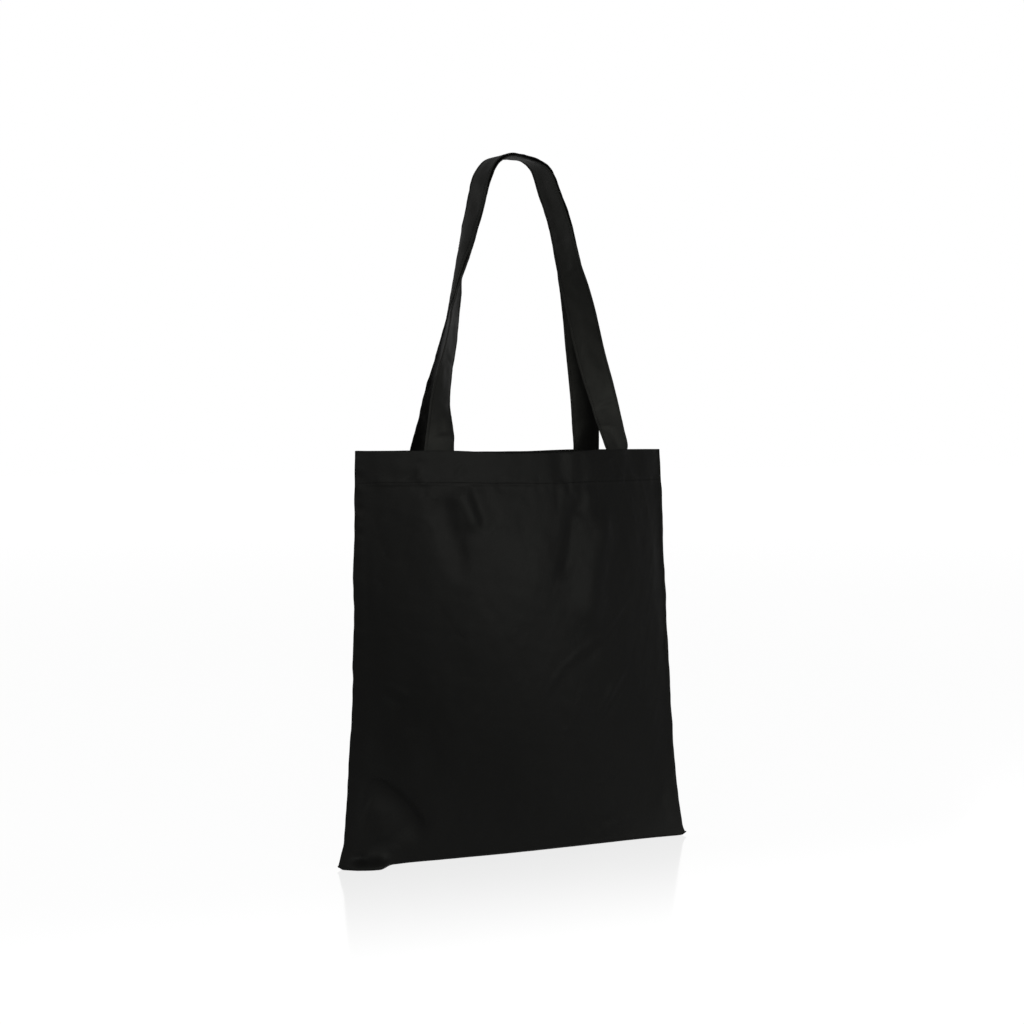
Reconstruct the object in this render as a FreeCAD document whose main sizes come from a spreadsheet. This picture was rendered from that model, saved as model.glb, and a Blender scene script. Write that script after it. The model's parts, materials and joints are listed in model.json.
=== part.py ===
import FreeCAD, Part
import math
import os
import Sketcher

# Flat fabric tote bag, standing open with both carrying loops up.
# Millimetres.  +Z up, origin under the middle of the bottom seam, X along the
# mean width of the bag, the front panel towards -Y.
# The bag is a two-panel tube: each level of it is a thin lens, two shallow arcs
# that meet at the side seams.  The lens turns a little about Z from the bottom
# seam to the hem, because the standing fabric is slightly twisted.

V = FreeCAD.Vector
doc = FreeCAD.newDocument("tote_bag")
sheet = doc.addObject("Spreadsheet::Sheet", "dims")

# level name: height, half width, swell of one panel at its middle, turn about Z
LEVELS = [
    ("floor",    0.0,   189.6, 10.0, -7.62),
    ("toe",      6.4,   189.0, 11.0, -7.39),
    ("ankle",    7.0,   188.8, 11.2, -7.36),
    ("heel",     26.0,  186.3, 17.0, -6.67),
    ("shin",     56.0,  183.9, 26.0, -5.57),
    ("foldlow",  103.0, 182.4, 36.0, -3.85),
    ("foldtop",  107.4, 182.3, 36.7, -3.69),
    ("belly",    200.0, 180.5, 46.0, -0.30),
    ("chest",    300.0, 182.3, 45.0, 3.37),
    ("hemlow",   388.0, 185.4, 35.5, 6.59),
    ("hembase",  388.4, 185.5, 35.5, 6.60),
    ("seamtop",  419.2, 186.5, 32.1, 7.73),
    ("hemtop",   420.0, 186.6, 32.0, 7.76),
]

SIZES = [
    ("fabric_wall", 1.0),          # thickness given to one fabric layer
    ("panel_edge", 2.4),           # outer face of a panel at the side seam, from the middle
    ("hem_edge", 3.3),             # outer face of a hem at the side seam
    ("hem_wall", 1.9),             # turned-over hem, three layers
    ("hem_proud", 0.5),            # how far the hem stands out of the panel
    ("seam_inset", 6.5),           # width of the seam allowance inside the bag
    ("seam_half", 0.7),            # half thickness of the allowance
    ("lock_inset", 7.5),           # inner edge of the overlock thread
    ("lock_start", 6.6),           # outer edge of the overlock thread
    ("lock_half", 0.6),
    ("base_edge", 1.6),            # half thickness of the bottom seam at its ends
    ("base_lock_long", 300.0),
    ("base_lock_wide", 1.0),
    ("base_lock_tall", 0.6),
    ("base_lock_rise", 6.5),
    ("thread_lift", 0.1),          # stitch beads over the lower edge of the hem, at the middle
    ("thread_clear", 0.4),         # the same at the ends
    ("thread_wall", 0.3),
    ("thread_tall", 0.7),
    ("hem_thread_rise", 391.5),
    ("hem_thread_turn", 6.72),
    ("strap_wide", 30.0),
    ("strap_thick", 1.4),
    ("end_thick", 1.1),
    ("end_low", 391.0),
    ("end_tall", 28.5),
    ("end_turn", 7.5),
    ("end_lean", 10.4),
    ("end_out", 18.8),
    ("front_spread", 110.0),       # half spacing of the front strap at the hem
    ("back_spread", 102.0),        # half spacing of the back strap at the hem
    ("loop_height", 297.0),        # hem to the top of the outer loop
    ("loop_nest", 5.6),            # the front loop passes under the back loop
    ("loop_turn", 14.0),           # turn of the loops about Z at their top
    ("loop_sway", 6.0),            # the top of the loops hangs a little to the left
    ("sway_start", 225.0),
    ("leg_start", 1.0),            # the free strap starts this far over the hem
    ("stitch_inset", 1.8),         # edge stitching, in from the edge of the strap
    ("stitch_wide", 0.6),
    ("stitch_deep", 0.4),
    ("tack_long", 25.0),
    ("tack_wide", 0.6),
    ("tack_high", 415.5),
    ("tack_low", 394.5),
    ("tack_out", 17.85),
]

# half of the outer loop: height over the hem, half spacing
LOOP = [
    (0.0, 102.0), (47.0, 95.4), (107.0, 85.7), (156.0, 76.2), (205.0, 64.5),
    (253.0, 50.0), (277.0, 39.2), (291.5, 24.8), (297.0, 0.0),
]

# how far each leg has turned from lying along the hem to square across the loop:
# share of the loop's height, share of the turn
LEAN = [
    (0.00, 0.00), (0.07, 0.06), (0.15, 0.17), (0.23, 0.29), (0.31, 0.38), (0.40, 0.47),
    (0.55, 0.63), (0.63, 0.76), (0.72, 0.90), (0.82, 0.97), (1.00, 1.00),
]

values = {}
row = 1


def cell(alias, number):
    """Put one named number on the sheet."""
    global row
    sheet.set("A%d" % row, alias)
    sheet.set("B%d" % row, "%s" % number)
    sheet.setAlias("B%d" % row, alias)
    values[alias] = float(number)
    row += 1


for alias, number in SIZES:
    cell(alias, number)
for word, rise, half, swell, turn in LEVELS:
    cell("rise_" + word, rise)
    cell("half_" + word, half)
    cell("swell_" + word, swell)
    cell("turn_" + word, turn)
for count, (rise, half) in enumerate(LOOP[:-1]):
    cell("loop_rise_%s" % "abcdefgh"[count], rise)
    cell("loop_half_%s" % "abcdefgh"[count], half)
for count, (rise, share) in enumerate(LEAN):
    cell("lean_at_%s" % "abcdefghijk"[count], rise)
    cell("lean_share_%s" % "abcdefghijk"[count], share)
doc.recompute()


def v(text):
    """Value of a sheet expression such as 'half_belly - seam_inset'."""
    total, sign = 0.0, 1.0
    for token in text.split():
        if token == "+":
            sign = 1.0
        elif token == "-":
            sign = -1.0
        else:
            total += sign * (values[token] if token in values else float(token))
            sign = 1.0
    return total


def ex(text):
    """The same expression, for the document."""
    return " ".join("dims." + t if t in values else t for t in text.split())


def plane(body, role):
    for feature in body.Origin.OriginFeatures:
        if feature.Role == role:
            return feature


def new_body(label):
    body = doc.addObject("PartDesign::Body", label)
    body.Label = label
    return body


def level_sketch(body, name, rise, turn):
    sk = body.newObject("Sketcher::SketchObject", name)
    sk.AttachmentSupport = [(plane(body, "XY_Plane"), "")]
    sk.MapMode = "FlatFace"
    sk.setExpression(
        "AttachmentOffset",
        "placement(vector(0; 0; %s); rotation(vector(0; 0; 1); %s))" % (ex(rise), ex(turn)))
    return sk


def fix_point(sk, tag, geo, pos, x, y):
    """Tie a point to the sketch origin: x and y are sheet expressions with a sign."""
    for axis, kind, (sign, text) in (("x", "DistanceX", x), ("y", "DistanceY", y)):
        if sign > 0:
            num = sk.addConstraint(Sketcher.Constraint(kind, -1, 1, geo, pos, v(text)))
        else:
            num = sk.addConstraint(Sketcher.Constraint(kind, geo, pos, -1, 1, v(text)))
        name = "%s_%s" % (tag, axis)
        sk.renameConstraint(num, name)
        sk.setExpression("Constraints." + name, ex(text))


def radius_of(half, swell, edge):
    sag = "(%s - (%s))" % (ex(swell), ex(edge))
    return "((%s)^2 + %s^2) / (2 * %s)" % (ex(half), sag, sag)


def add_arc(sk, side, half, swell, edge, tag):
    """Arc of one panel face at one level, from one side seam to the other."""
    c, s, e = v(half), v(swell), v(edge)
    # drawn anticlockwise, which is left to right in front and right to left at the back
    geo = sk.addGeometry(Part.Arc(V(side * c, side * e, 0), V(0, side * s, 0), V(-side * c, side * e, 0)))
    start = sk.Geometry[geo].StartPoint
    left, right = (1, 2) if start.x < 0 else (2, 1)
    fix_point(sk, tag + "_left", geo, left, (-1, half), (side, edge))
    fix_point(sk, tag + "_right", geo, right, (1, half), (side, edge))
    num = sk.addConstraint(Sketcher.Constraint(
        "Radius", geo, (c * c + (s - e) ** 2) / (2 * (s - e))))
    sk.renameConstraint(num, tag + "_radius")
    sk.setExpression("Constraints." + tag + "_radius", radius_of(half, swell, edge))
    return geo, left, right


def close_ends(sk, a, b):
    """Join the ends of two arcs with straight lines."""
    for end in (1, 2):
        ga, gb = a[0], b[0]
        pa, pb = a[end], b[end]
        p = sk.getPoint(ga, pa)
        q = sk.getPoint(gb, pb)
        line = sk.addGeometry(Part.LineSegment(p, q))
        sk.addConstraint(Sketcher.Constraint("Coincident", line, 1, ga, pa))
        sk.addConstraint(Sketcher.Constraint("Coincident", line, 2, gb, pb))


def layer_sketch(body, word, side, swell, edge, wall, half=None, rise=None, turn=None, name=None):
    """Section of one layer of fabric at one level: two like arcs and two short ends."""
    sk = level_sketch(body, name or ("section_" + word), rise or ("rise_" + word), turn or ("turn_" + word))
    half = half or ("half_" + word)
    outer = add_arc(sk, side, half, swell, edge, "outer")
    inner = add_arc(sk, side, half, swell + " - " + wall, edge + " - " + wall, "inner")
    close_ends(sk, outer, inner)
    return sk


def strip_sketch(body, word, side, outer, inner, thick):
    """Section of the seam allowance: a small rectangle inside the side seam."""
    sk = level_sketch(body, "section_" + word, "rise_" + word, "turn_" + word)
    xo, xi, t = v(outer), v(inner), v(thick)
    pts = [V(side * xi, -t, 0), V(side * xo, -t, 0), V(side * xo, t, 0), V(side * xi, t, 0)]
    for i in range(4):
        sk.addGeometry(Part.LineSegment(pts[i], pts[(i + 1) % 4]))
    for i in range(4):
        sk.addConstraint(Sketcher.Constraint("Coincident", i, 2, (i + 1) % 4, 1))
    fix_point(sk, "a", 0, 1, (side, inner), (-1, thick))
    fix_point(sk, "b", 1, 1, (side, outer), (-1, thick))
    fix_point(sk, "c", 2, 1, (side, outer), (1, thick))
    fix_point(sk, "d", 3, 1, (side, inner), (1, thick))
    return sk


def loft(body, sections):
    doc.recompute()
    feature = body.newObject("PartDesign::AdditiveLoft", "loft")
    feature.Profile = (sections[0], [""])
    feature.Sections = [(s, [""]) for s in sections[1:]]
    feature.Ruled = False
    body.Tip = feature
    doc.recompute()
    return feature


parts = []

# ---- panels: one layer of fabric each, split where the bag folds ----
LOW = ["ankle", "heel", "shin", "foldlow"]
HIGH = ["foldtop", "belly", "chest", "hemlow"]
for label, side, words in (
        ("front_panel_upper", -1, HIGH), ("back_panel_upper", 1, HIGH),
        ("front_panel_lower", -1, LOW), ("back_panel_lower", 1, LOW)):
    body = new_body(label)
    loft(body, [layer_sketch(body, w, side, "swell_" + w, "panel_edge", "fabric_wall") for w in words])
    parts.append(body)

# ---- side seam allowances, folded inside the bag, and the overlock thread on them ----
for label, side, words in (
        ("left_side_seam_upper", -1, ["foldtop", "belly", "chest", "hemlow", "seamtop"]),
        ("right_side_seam_upper", 1, ["foldtop", "belly", "chest", "hemlow", "seamtop"]),
        ("left_side_seam_lower", -1, LOW), ("right_side_seam_lower", 1, LOW)):
    body = new_body(label)
    loft(body, [strip_sketch(body, w, side, "half_" + w, "half_" + w + " - seam_inset", "seam_half")
                for w in words])
    parts.append(body)
for label, side, words in (
        ("left_overlock_thread_upper", -1, HIGH), ("right_overlock_thread_upper", 1, HIGH),
        ("left_overlock_thread_lower", -1, ["heel", "shin", "foldlow"]),
        ("right_overlock_thread_lower", 1, ["heel", "shin", "foldlow"])):
    body = new_body(label)
    loft(body, [strip_sketch(body, w, side, "half_" + w + " - lock_start",
                             "half_" + w + " - lock_inset", "lock_half") for w in words])
    parts.append(body)

# ---- bottom seam: the folded allowance that the bag stands on ----
body = new_body("bottom_seam")
sections = []
for word in ("floor", "toe"):
    sk = level_sketch(body, "section_" + word, "rise_" + word, "turn_" + word)
    a = add_arc(sk, -1, "half_" + word, "swell_" + word, "base_edge", "front")
    b = add_arc(sk, 1, "half_" + word, "swell_" + word, "base_edge", "back")
    close_ends(sk, a, b)
    sections.append(sk)
loft(body, sections)
parts.append(body)

thread = doc.addObject("Part::Box", "bottom_overlock_thread")
thread.Label = "bottom_overlock_thread"
thread.setExpression("Length", "dims.base_lock_long")
thread.setExpression("Width", "dims.base_lock_wide")
thread.setExpression("Height", "dims.base_lock_tall")
thread.setExpression(
    "Placement",
    "placement(vector(0; 0; dims.base_lock_rise); rotation(vector(0; 0; 1); dims.turn_toe))"
    " * placement(vector(-dims.base_lock_long / 2; -dims.base_lock_wide / 2; 0);"
    " rotation(vector(0; 0; 1); 0))")
parts.append(thread)

# ---- hems: the top edge turned in twice ----
for label, side in (("front_hem", -1), ("back_hem", 1)):
    body = new_body(label)
    loft(body, [layer_sketch(body, w, side, "swell_" + w + " + hem_proud", "hem_edge", "hem_wall")
                for w in ("hembase", "hemtop")])
    parts.append(body)

# ---- stitch line along the lower edge of each hem ----
for label, side in (("front_hem_stitching", -1), ("back_hem_stitching", 1)):
    body = new_body(label)
    sk = layer_sketch(body, "hembase", side,
                      "swell_hembase + hem_proud + thread_lift",
                      "hem_edge + thread_clear", "thread_wall",
                      rise="hem_thread_rise", turn="hem_thread_turn", name="stitch_path")
    doc.recompute()
    pad = body.newObject("PartDesign::Pad", "stitch_row")
    pad.Profile = (sk, [""])
    pad.setExpression("Length", "dims.thread_tall")
    body.Tip = pad
    doc.recompute()
    parts.append(body)


def hem_box(name, long, deep, tall, x, y, z, lean):
    """A box on the inside of a hem, centred on x and y in the turned hem."""
    box = doc.addObject("Part::Box", name)
    box.setExpression("Length", ex(long))
    box.setExpression("Width", ex(deep))
    box.setExpression("Height", ex(tall))
    box.setExpression(
        "Placement",
        "placement(vector(0; 0; 0); rotation(vector(0; 0; 1); dims.end_turn))"
        " * placement(vector(%s; %s; %s); rotation(vector(0; 0; 1); %s))"
        " * placement(vector(-(%s) / 2; -(%s) / 2; 0); rotation(vector(0; 0; 1); 0))"
        % (x, y, z, lean, ex(long), ex(deep)))
    return box


# ---- strap ends, sewn to the inside of the hems, and the rows that tack them ----
for word, side, spread in (("front", -1, "front_spread"), ("back", 1, "back_spread")):
    ends, tacks = [], []
    for hand, sx in (("left", -1), ("right", 1)):
        lean = "%sdims.end_lean" % ("-" if sx * side > 0 else "")
        x = "%sdims.%s" % ("-" if sx < 0 else "", spread)
        y = "%sdims.end_out" % ("-" if side < 0 else "")
        ends.append(hem_box("%s_%s_end" % (word, hand), "strap_wide", "end_thick", "end_tall",
                            x, y, "dims.end_low", lean))
        y = "%sdims.tack_out" % ("-" if side < 0 else "")
        for place in ("tack_low", "tack_high"):
            tacks.append(hem_box("%s_%s_%s" % (word, hand, place), "tack_long", "tack_wide",
                                 "tack_wide", x, y, "dims." + place, lean))
    group = doc.addObject("Part::Compound", "%s_strap_ends" % word)
    group.Label = "%s_strap_ends" % word
    group.Links = ends
    parts.append(group)
    group = doc.addObject("Part::Compound", "%s_tack_stitching" % word)
    group.Label = "%s_tack_stitching" % word
    group.Links = tacks
    parts.append(group)
doc.recompute()

# ---- carrying loops ----
# Each leg leaves the hem flat against it.  On the way up the left leg turns one way
# and the right leg the other, until both are square to the loop, where the strap
# passes over like the top of a staple.  The front loop passes under the back loop.


def rising(t, low, high):
    t = max(0.0, min(1.0, (t - low) / (high - low)))
    return t * t * (3.0 - 2.0 * t)


def lean_share(u):
    table = [(values["lean_at_%s" % k], values["lean_share_%s" % k]) for k in "abcdefghijk"]
    for (a, fa), (b, fb) in zip(table, table[1:]):
        if u <= b:
            return fa + (fb - fa) * max(0.0, u - a) / (b - a)
    return 1.0


def loop_stations(front, count):
    top = values["loop_height"]
    half = [(values["loop_rise_%s" % k], values["loop_half_%s" % k]) for k in "abcdefgh"]
    pts = [V(-b, 0, h) for h, b in half] + [V(0, 0, top)] + [V(b, 0, h) for h, b in reversed(half)]
    curve = Part.BSplineCurve()
    curve.interpolate(Points=pts)
    edge = curve.toShape()
    length = edge.Length
    stations = []
    for i in range(count + 1):
        # closer together over the top
        r = 2.0 * i / count - 1.0
        t = 0.5 + 0.5 * math.copysign(abs(r) ** 1.35, r)
        par = edge.getParameterByLength(length * t)
        p = edge.valueAt(par)
        d = edge.tangentAt(par)
        h = max(0.0, p.z)
        u = h / top
        sx = -1.0 if t < 0.5 else 1.0
        x, z = p.x, p.z
        if front:
            nest = values["loop_nest"] * rising(h, 90.0, 200.0)
            inward = V(d.z, 0, -d.x)
            if inward.dot(V(-p.x, 0, 200.0 - p.z)) < 0:
                inward = inward * -1.0
            x += inward.x * nest
            z += inward.z * nest
            x += sx * (values["front_spread"] - values["back_spread"]) * max(0.0, 1.0 - h / 150.0) ** 2
        x -= values["loop_sway"] * rising(h, values["sway_start"], top)
        side = -1.0 if front else 1.0
        y = side * values["end_out"] * max(0.0, 1.0 - u) ** 1.5
        z = z + values["rise_hemtop"] + values["leg_start"] * (1.0 - u)
        turn = values["turn_hemtop"] + (values["loop_turn"] - values["turn_hemtop"]) * u
        lean0 = -values["end_lean"] * (sx * side)
        g = lean_share(u)
        lean = lean0 + (-sx * 90.0 - lean0) * g
        if abs(t - 0.5) < 1e-6:
            lean = 90.0
        ct, st = math.cos(math.radians(turn)), math.sin(math.radians(turn))
        place = V(x * ct - y * st, x * st + y * ct, z)
        wide = math.radians(turn + lean)
        stations.append([place, V(math.cos(wide), math.sin(wide), 0)])
    # the width must run the same way all along the strap: the right leg's is turned round
    # at the top, where both legs are square to the loop
    middle = count // 2
    for i in range(middle + 1, count + 1):
        stations[i][1] = stations[i][1] * -1.0
    for i, (place, wide) in enumerate(stations):
        a = stations[max(0, i - 1)][0]
        b = stations[min(count, i + 1)][0]
        along = (b - a).normalize()
        # level at the hem, so that the leg starts clear of it, then square to the leg
        square = rising(place.z - values["rise_hemtop"], 0.0, 45.0)
        wide = (wide - along * wide.dot(along) * square).normalize()
        stations[i] = (place, along, wide, along.cross(wide).normalize())
    return stations


def run(stations, offset, width, lift, thick):
    wires = []
    for place, along, wide, normal in stations:
        c = place + wide * offset + normal * lift
        a, b = wide * (width / 2.0), normal * (thick / 2.0)
        wires.append(Part.makePolygon([c - a - b, c + a - b, c + a + b, c - a + b, c - a - b]))
    return Part.makeLoft(wires, True, True)


def band(stations, offset, width, lift, thick):
    """Solid of one flat band that follows the stations: a leg each side, joined at the top."""
    middle = len(stations) // 2
    left = run(stations[:middle + 1], offset, width, lift, thick)
    right = run(stations[middle:], offset, width, lift, thick)
    solid = left.fuse(right).Solids[0]
    long = sum((b[0] - a[0]).Length for a, b in zip(stations, stations[1:]))
    print("band %.1f mm long, volume %.1f, section times length %.1f" % (long, solid.Volume, long * width * thick))
    return solid


for word, front in (("front", True), ("back", False)):
    stations = loop_stations(front, 32)
    # the face that looks forward at the left end is the underside at the top
    under = 1.0 if stations[16][3].z < 0 else -1.0
    strap = doc.addObject("Part::Feature", "%s_handle_strap" % word)
    strap.Label = "%s_handle_strap" % word
    strap.Shape = band(stations, 0.0, values["strap_wide"], 0.0, values["strap_thick"])
    strap.Placement = FreeCAD.Placement(V(0, 0, 0), FreeCAD.Rotation())
    parts.append(strap)
    rows = []
    for s in (-1.0, 1.0):
        rows.append(band(stations, s * (values["strap_wide"] / 2.0 - values["stitch_inset"]),
                         values["stitch_wide"],
                         under * (values["strap_thick"] / 2.0 + values["stitch_deep"] / 2.0 + 0.02),
                         values["stitch_deep"]))
    stitch = doc.addObject("Part::Feature", "%s_handle_stitching" % word)
    stitch.Label = "%s_handle_stitching" % word
    stitch.Shape = Part.makeCompound(rows)
    stitch.Placement = FreeCAD.Placement(V(0, 0, 0), FreeCAD.Rotation())
    parts.append(stitch)

doc.recompute()

# ---- check, then write ----
problems = []
for obj in doc.Objects:
    if "Invalid" in obj.State or "Error" in obj.State:
        problems.append("%s: %s" % (obj.Label, obj.State))
for obj in parts:
    shape = obj.Shape
    if shape.isNull() or not shape.isValid() or shape.Volume <= 0 or not shape.Solids:
        problems.append("%s: bad shape" % obj.Label)
    print("%-28s %8.1f mm3  solids %d  faces %d" % (obj.Label, shape.Volume, len(shape.Solids), len(shape.Faces)))
if problems:
    raise RuntimeError("; ".join(problems))

os.makedirs("parts", exist_ok=True)
for obj in parts:
    obj.Shape.exportStep("parts/%s.step" % obj.Label)
print("%d parts written" % len(parts))
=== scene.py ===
import json
import math

import bpy
import numpy as np
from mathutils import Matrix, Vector

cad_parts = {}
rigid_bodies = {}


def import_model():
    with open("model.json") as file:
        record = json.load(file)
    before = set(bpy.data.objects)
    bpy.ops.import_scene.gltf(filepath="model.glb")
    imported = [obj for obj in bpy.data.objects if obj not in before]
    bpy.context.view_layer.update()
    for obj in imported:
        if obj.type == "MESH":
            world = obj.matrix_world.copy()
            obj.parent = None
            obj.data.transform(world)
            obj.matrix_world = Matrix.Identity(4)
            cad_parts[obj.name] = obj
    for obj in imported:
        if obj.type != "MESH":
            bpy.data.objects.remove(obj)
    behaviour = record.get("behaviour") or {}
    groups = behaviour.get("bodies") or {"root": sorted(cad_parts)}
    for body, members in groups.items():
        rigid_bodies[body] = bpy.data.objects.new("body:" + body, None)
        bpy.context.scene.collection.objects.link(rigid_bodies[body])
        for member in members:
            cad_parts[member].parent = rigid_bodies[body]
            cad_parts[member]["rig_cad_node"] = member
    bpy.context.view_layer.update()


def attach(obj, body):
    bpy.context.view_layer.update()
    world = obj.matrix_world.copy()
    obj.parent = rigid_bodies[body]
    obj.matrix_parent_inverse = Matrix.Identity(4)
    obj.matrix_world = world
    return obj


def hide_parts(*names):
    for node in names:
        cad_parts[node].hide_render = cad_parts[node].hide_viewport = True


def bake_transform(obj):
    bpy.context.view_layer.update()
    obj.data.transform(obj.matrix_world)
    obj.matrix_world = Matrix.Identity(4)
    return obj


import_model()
MM = 0.001

# ---------------------------------------------------------------- camera
AZ = math.radians(25.86)
PITCH = math.radians(3.228)
YAW = math.radians(0.276)
cam_data = bpy.data.cameras.new("camera")
cam_data.sensor_width = 36.0
cam_data.lens = 46.76
cam_data.clip_start, cam_data.clip_end = 0.05, 60.0
cam = bpy.data.objects.new("camera", cam_data)
bpy.context.scene.collection.objects.link(cam)
cam.location = (-1.370 * math.sin(AZ), -1.370 * math.cos(AZ), 0.4333)
heading = AZ - YAW
look = Vector((math.sin(heading) * math.cos(PITCH), math.cos(heading) * math.cos(PITCH), -math.sin(PITCH)))
cam.rotation_mode = "QUATERNION"
cam.rotation_quaternion = look.to_track_quat("-Z", "Y")
bpy.context.scene.camera = cam
bpy.context.scene.view_settings.view_transform = "Standard"


# ---------------------------------------------------------------- small tools
def spline(xs, ys):
    """Natural cubic spline through the points, as a function of an array."""
    x, y = np.asarray(xs, float), np.asarray(ys, float)
    n = len(x)
    h = np.diff(x)
    a = np.zeros((n, n))
    b = np.zeros(n)
    a[0, 0] = a[-1, -1] = 1.0
    for i in range(1, n - 1):
        a[i, i - 1], a[i, i], a[i, i + 1] = h[i - 1], 2 * (h[i - 1] + h[i]), h[i]
        b[i] = 6 * ((y[i + 1] - y[i]) / h[i] - (y[i] - y[i - 1]) / h[i - 1])
    m = np.linalg.solve(a, b)

    def f(t):
        t = np.asarray(t, float)
        k = np.clip(np.searchsorted(x, t) - 1, 0, n - 2)
        d, e = x[k + 1] - t, t - x[k]
        return ((m[k] * d ** 3 + m[k + 1] * e ** 3) / (6 * h[k])
                + (y[k] / h[k] - m[k] * h[k] / 6) * d + (y[k + 1] / h[k] - m[k + 1] * h[k] / 6) * e)
    return f


def smooth(t, low, high):
    t = np.clip((np.asarray(t, float) - low) / (high - low), 0, 1)
    return t * t * (3 - 2 * t)


def noise(x, z, lx, lz, seed, count=48):
    """Smooth field of unit height: waves of about lx by lz millimetres."""
    r = np.random.default_rng(seed)
    kx = r.normal(0, 2.2 / lx, count)
    kz = r.normal(0, 2.2 / lz, count)
    ph = r.uniform(0, 2 * math.pi, count)
    out = np.zeros(np.broadcast(x, z).shape)
    for a, b, c in zip(kx, kz, ph):
        out += np.cos(a * x + b * z + c)
    return out * math.sqrt(2.0 / count)


def unit(v):
    return v / np.maximum(np.linalg.norm(v, axis=-1, keepdims=True), 1e-12)


def turned(x, y, z, deg):
    t = np.radians(deg)
    return np.stack([x * np.cos(t) - y * np.sin(t), x * np.sin(t) + y * np.cos(t), z + 0 * x], -1)


class Build:
    """Collects vertices and faces, in millimetres, for one piece."""

    def __init__(self):
        self.v, self.f, self.w, self.n = [], [], [], 0

    def add(self, pts, weave=None):
        p = np.asarray(pts, float).reshape(-1, 3)
        self.v.append(p)
        w = p if weave is None else np.asarray(weave, float).reshape(-1, 3)
        self.w.append(w)
        first = self.n
        self.n += len(p)
        return first

    def grid(self, idx, flip=False, wrap=False):
        """Quads over a 2-D array of vertex numbers."""
        if wrap:
            idx = np.concatenate([idx, idx[:, :1]], 1)
        a, b, c, d = idx[:-1, :-1], idx[:-1, 1:], idx[1:, 1:], idx[1:, :-1]
        q = np.stack([a, d, c, b] if flip else [a, b, c, d], -1).reshape(-1, 4)
        self.f.append(q)

    def mesh(self, name, material, body=None):
        v = np.concatenate(self.v)
        w = np.concatenate(self.w)
        me = bpy.data.meshes.new(name)
        quads = np.concatenate([q for q in self.f if q.shape[1] == 4]) if any(q.shape[1] == 4 for q in self.f) else np.zeros((0, 4), int)
        tris = [q for q in self.f if q.shape[1] == 3]
        tris = np.concatenate(tris) if tris else np.zeros((0, 3), int)
        me.vertices.add(len(v))
        me.vertices.foreach_set("co", (v * MM).astype(np.float32).ravel())
        loops = np.concatenate([quads.ravel(), tris.ravel()]).astype(np.int32)
        me.loops.add(len(loops))
        me.loops.foreach_set("vertex_index", loops)
        starts = np.concatenate([np.arange(len(quads)) * 4, len(quads) * 4 + np.arange(len(tris)) * 3]).astype(np.int32)
        me.polygons.add(len(quads) + len(tris))
        me.polygons.foreach_set("loop_start", starts)
        me.update(calc_edges=True)
        me.validate()
        me.polygons.foreach_set("use_smooth", np.ones(len(me.polygons), bool))
        at = me.attributes.new("weave", "FLOAT_VECTOR", "POINT")
        at.data.foreach_set("vector", (w * MM).astype(np.float32).ravel())
        me.update()
        ob = bpy.data.objects.new(name, me)
        bpy.context.scene.collection.objects.link(ob)
        ob.data.materials.append(material)
        if body:
            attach(ob, body)
        return ob


def stitches(build, a, b, radius, lift=None, sides=6):
    """Short plump threads from a to b, their middles lifted."""
    a, b = np.asarray(a, float), np.asarray(b, float)
    n = len(a)
    d = unit(b - a)
    ref = np.where(np.abs(d[:, 2:3]) > 0.8, np.array([[1.0, 0, 0]]), np.array([[0, 0, 1.0]]))
    u = unit(np.cross(d, ref))
    w = np.cross(d, u)
    lift = np.zeros((n, 3)) if lift is None else np.asarray(lift, float)
    ts = np.array([0.0, 0.12, 0.5, 0.88, 1.0])
    rs = np.array([0.25, 0.85, 1.0, 0.85, 0.25]) * radius
    hs = np.array([-0.6, 0.35, 1.0, 0.35, -0.6])
    ang = np.arange(sides) * 2 * math.pi / sides
    ring = u[:, None, :] * np.cos(ang)[None, :, None] + w[:, None, :] * np.sin(ang)[None, :, None]
    p = ((a[:, None] + (b - a)[:, None] * ts[None, :, None])[:, :, None, :]
         + ring[:, None] * rs[None, :, None, None] + (lift[:, None] * hs[None, :, None])[:, :, None, :])
    first = build.add(p)
    idx = first + np.arange(n * 5 * sides).reshape(n, 5, sides)
    nxt = np.roll(idx, -1, 2)
    q = np.stack([idx[:, :-1], nxt[:, :-1], nxt[:, 1:], idx[:, 1:]], -1).reshape(-1, 4)
    build.f.append(q)
    for k, turn in ((0, -1), (4, 1)):
        c = idx[:, k]
        for i in range(1, sides - 1):
            t = np.stack([c[:, 0], c[:, i], c[:, i + 1]], -1)
            build.f.append(t if turn > 0 else t[:, ::-1])


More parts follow.
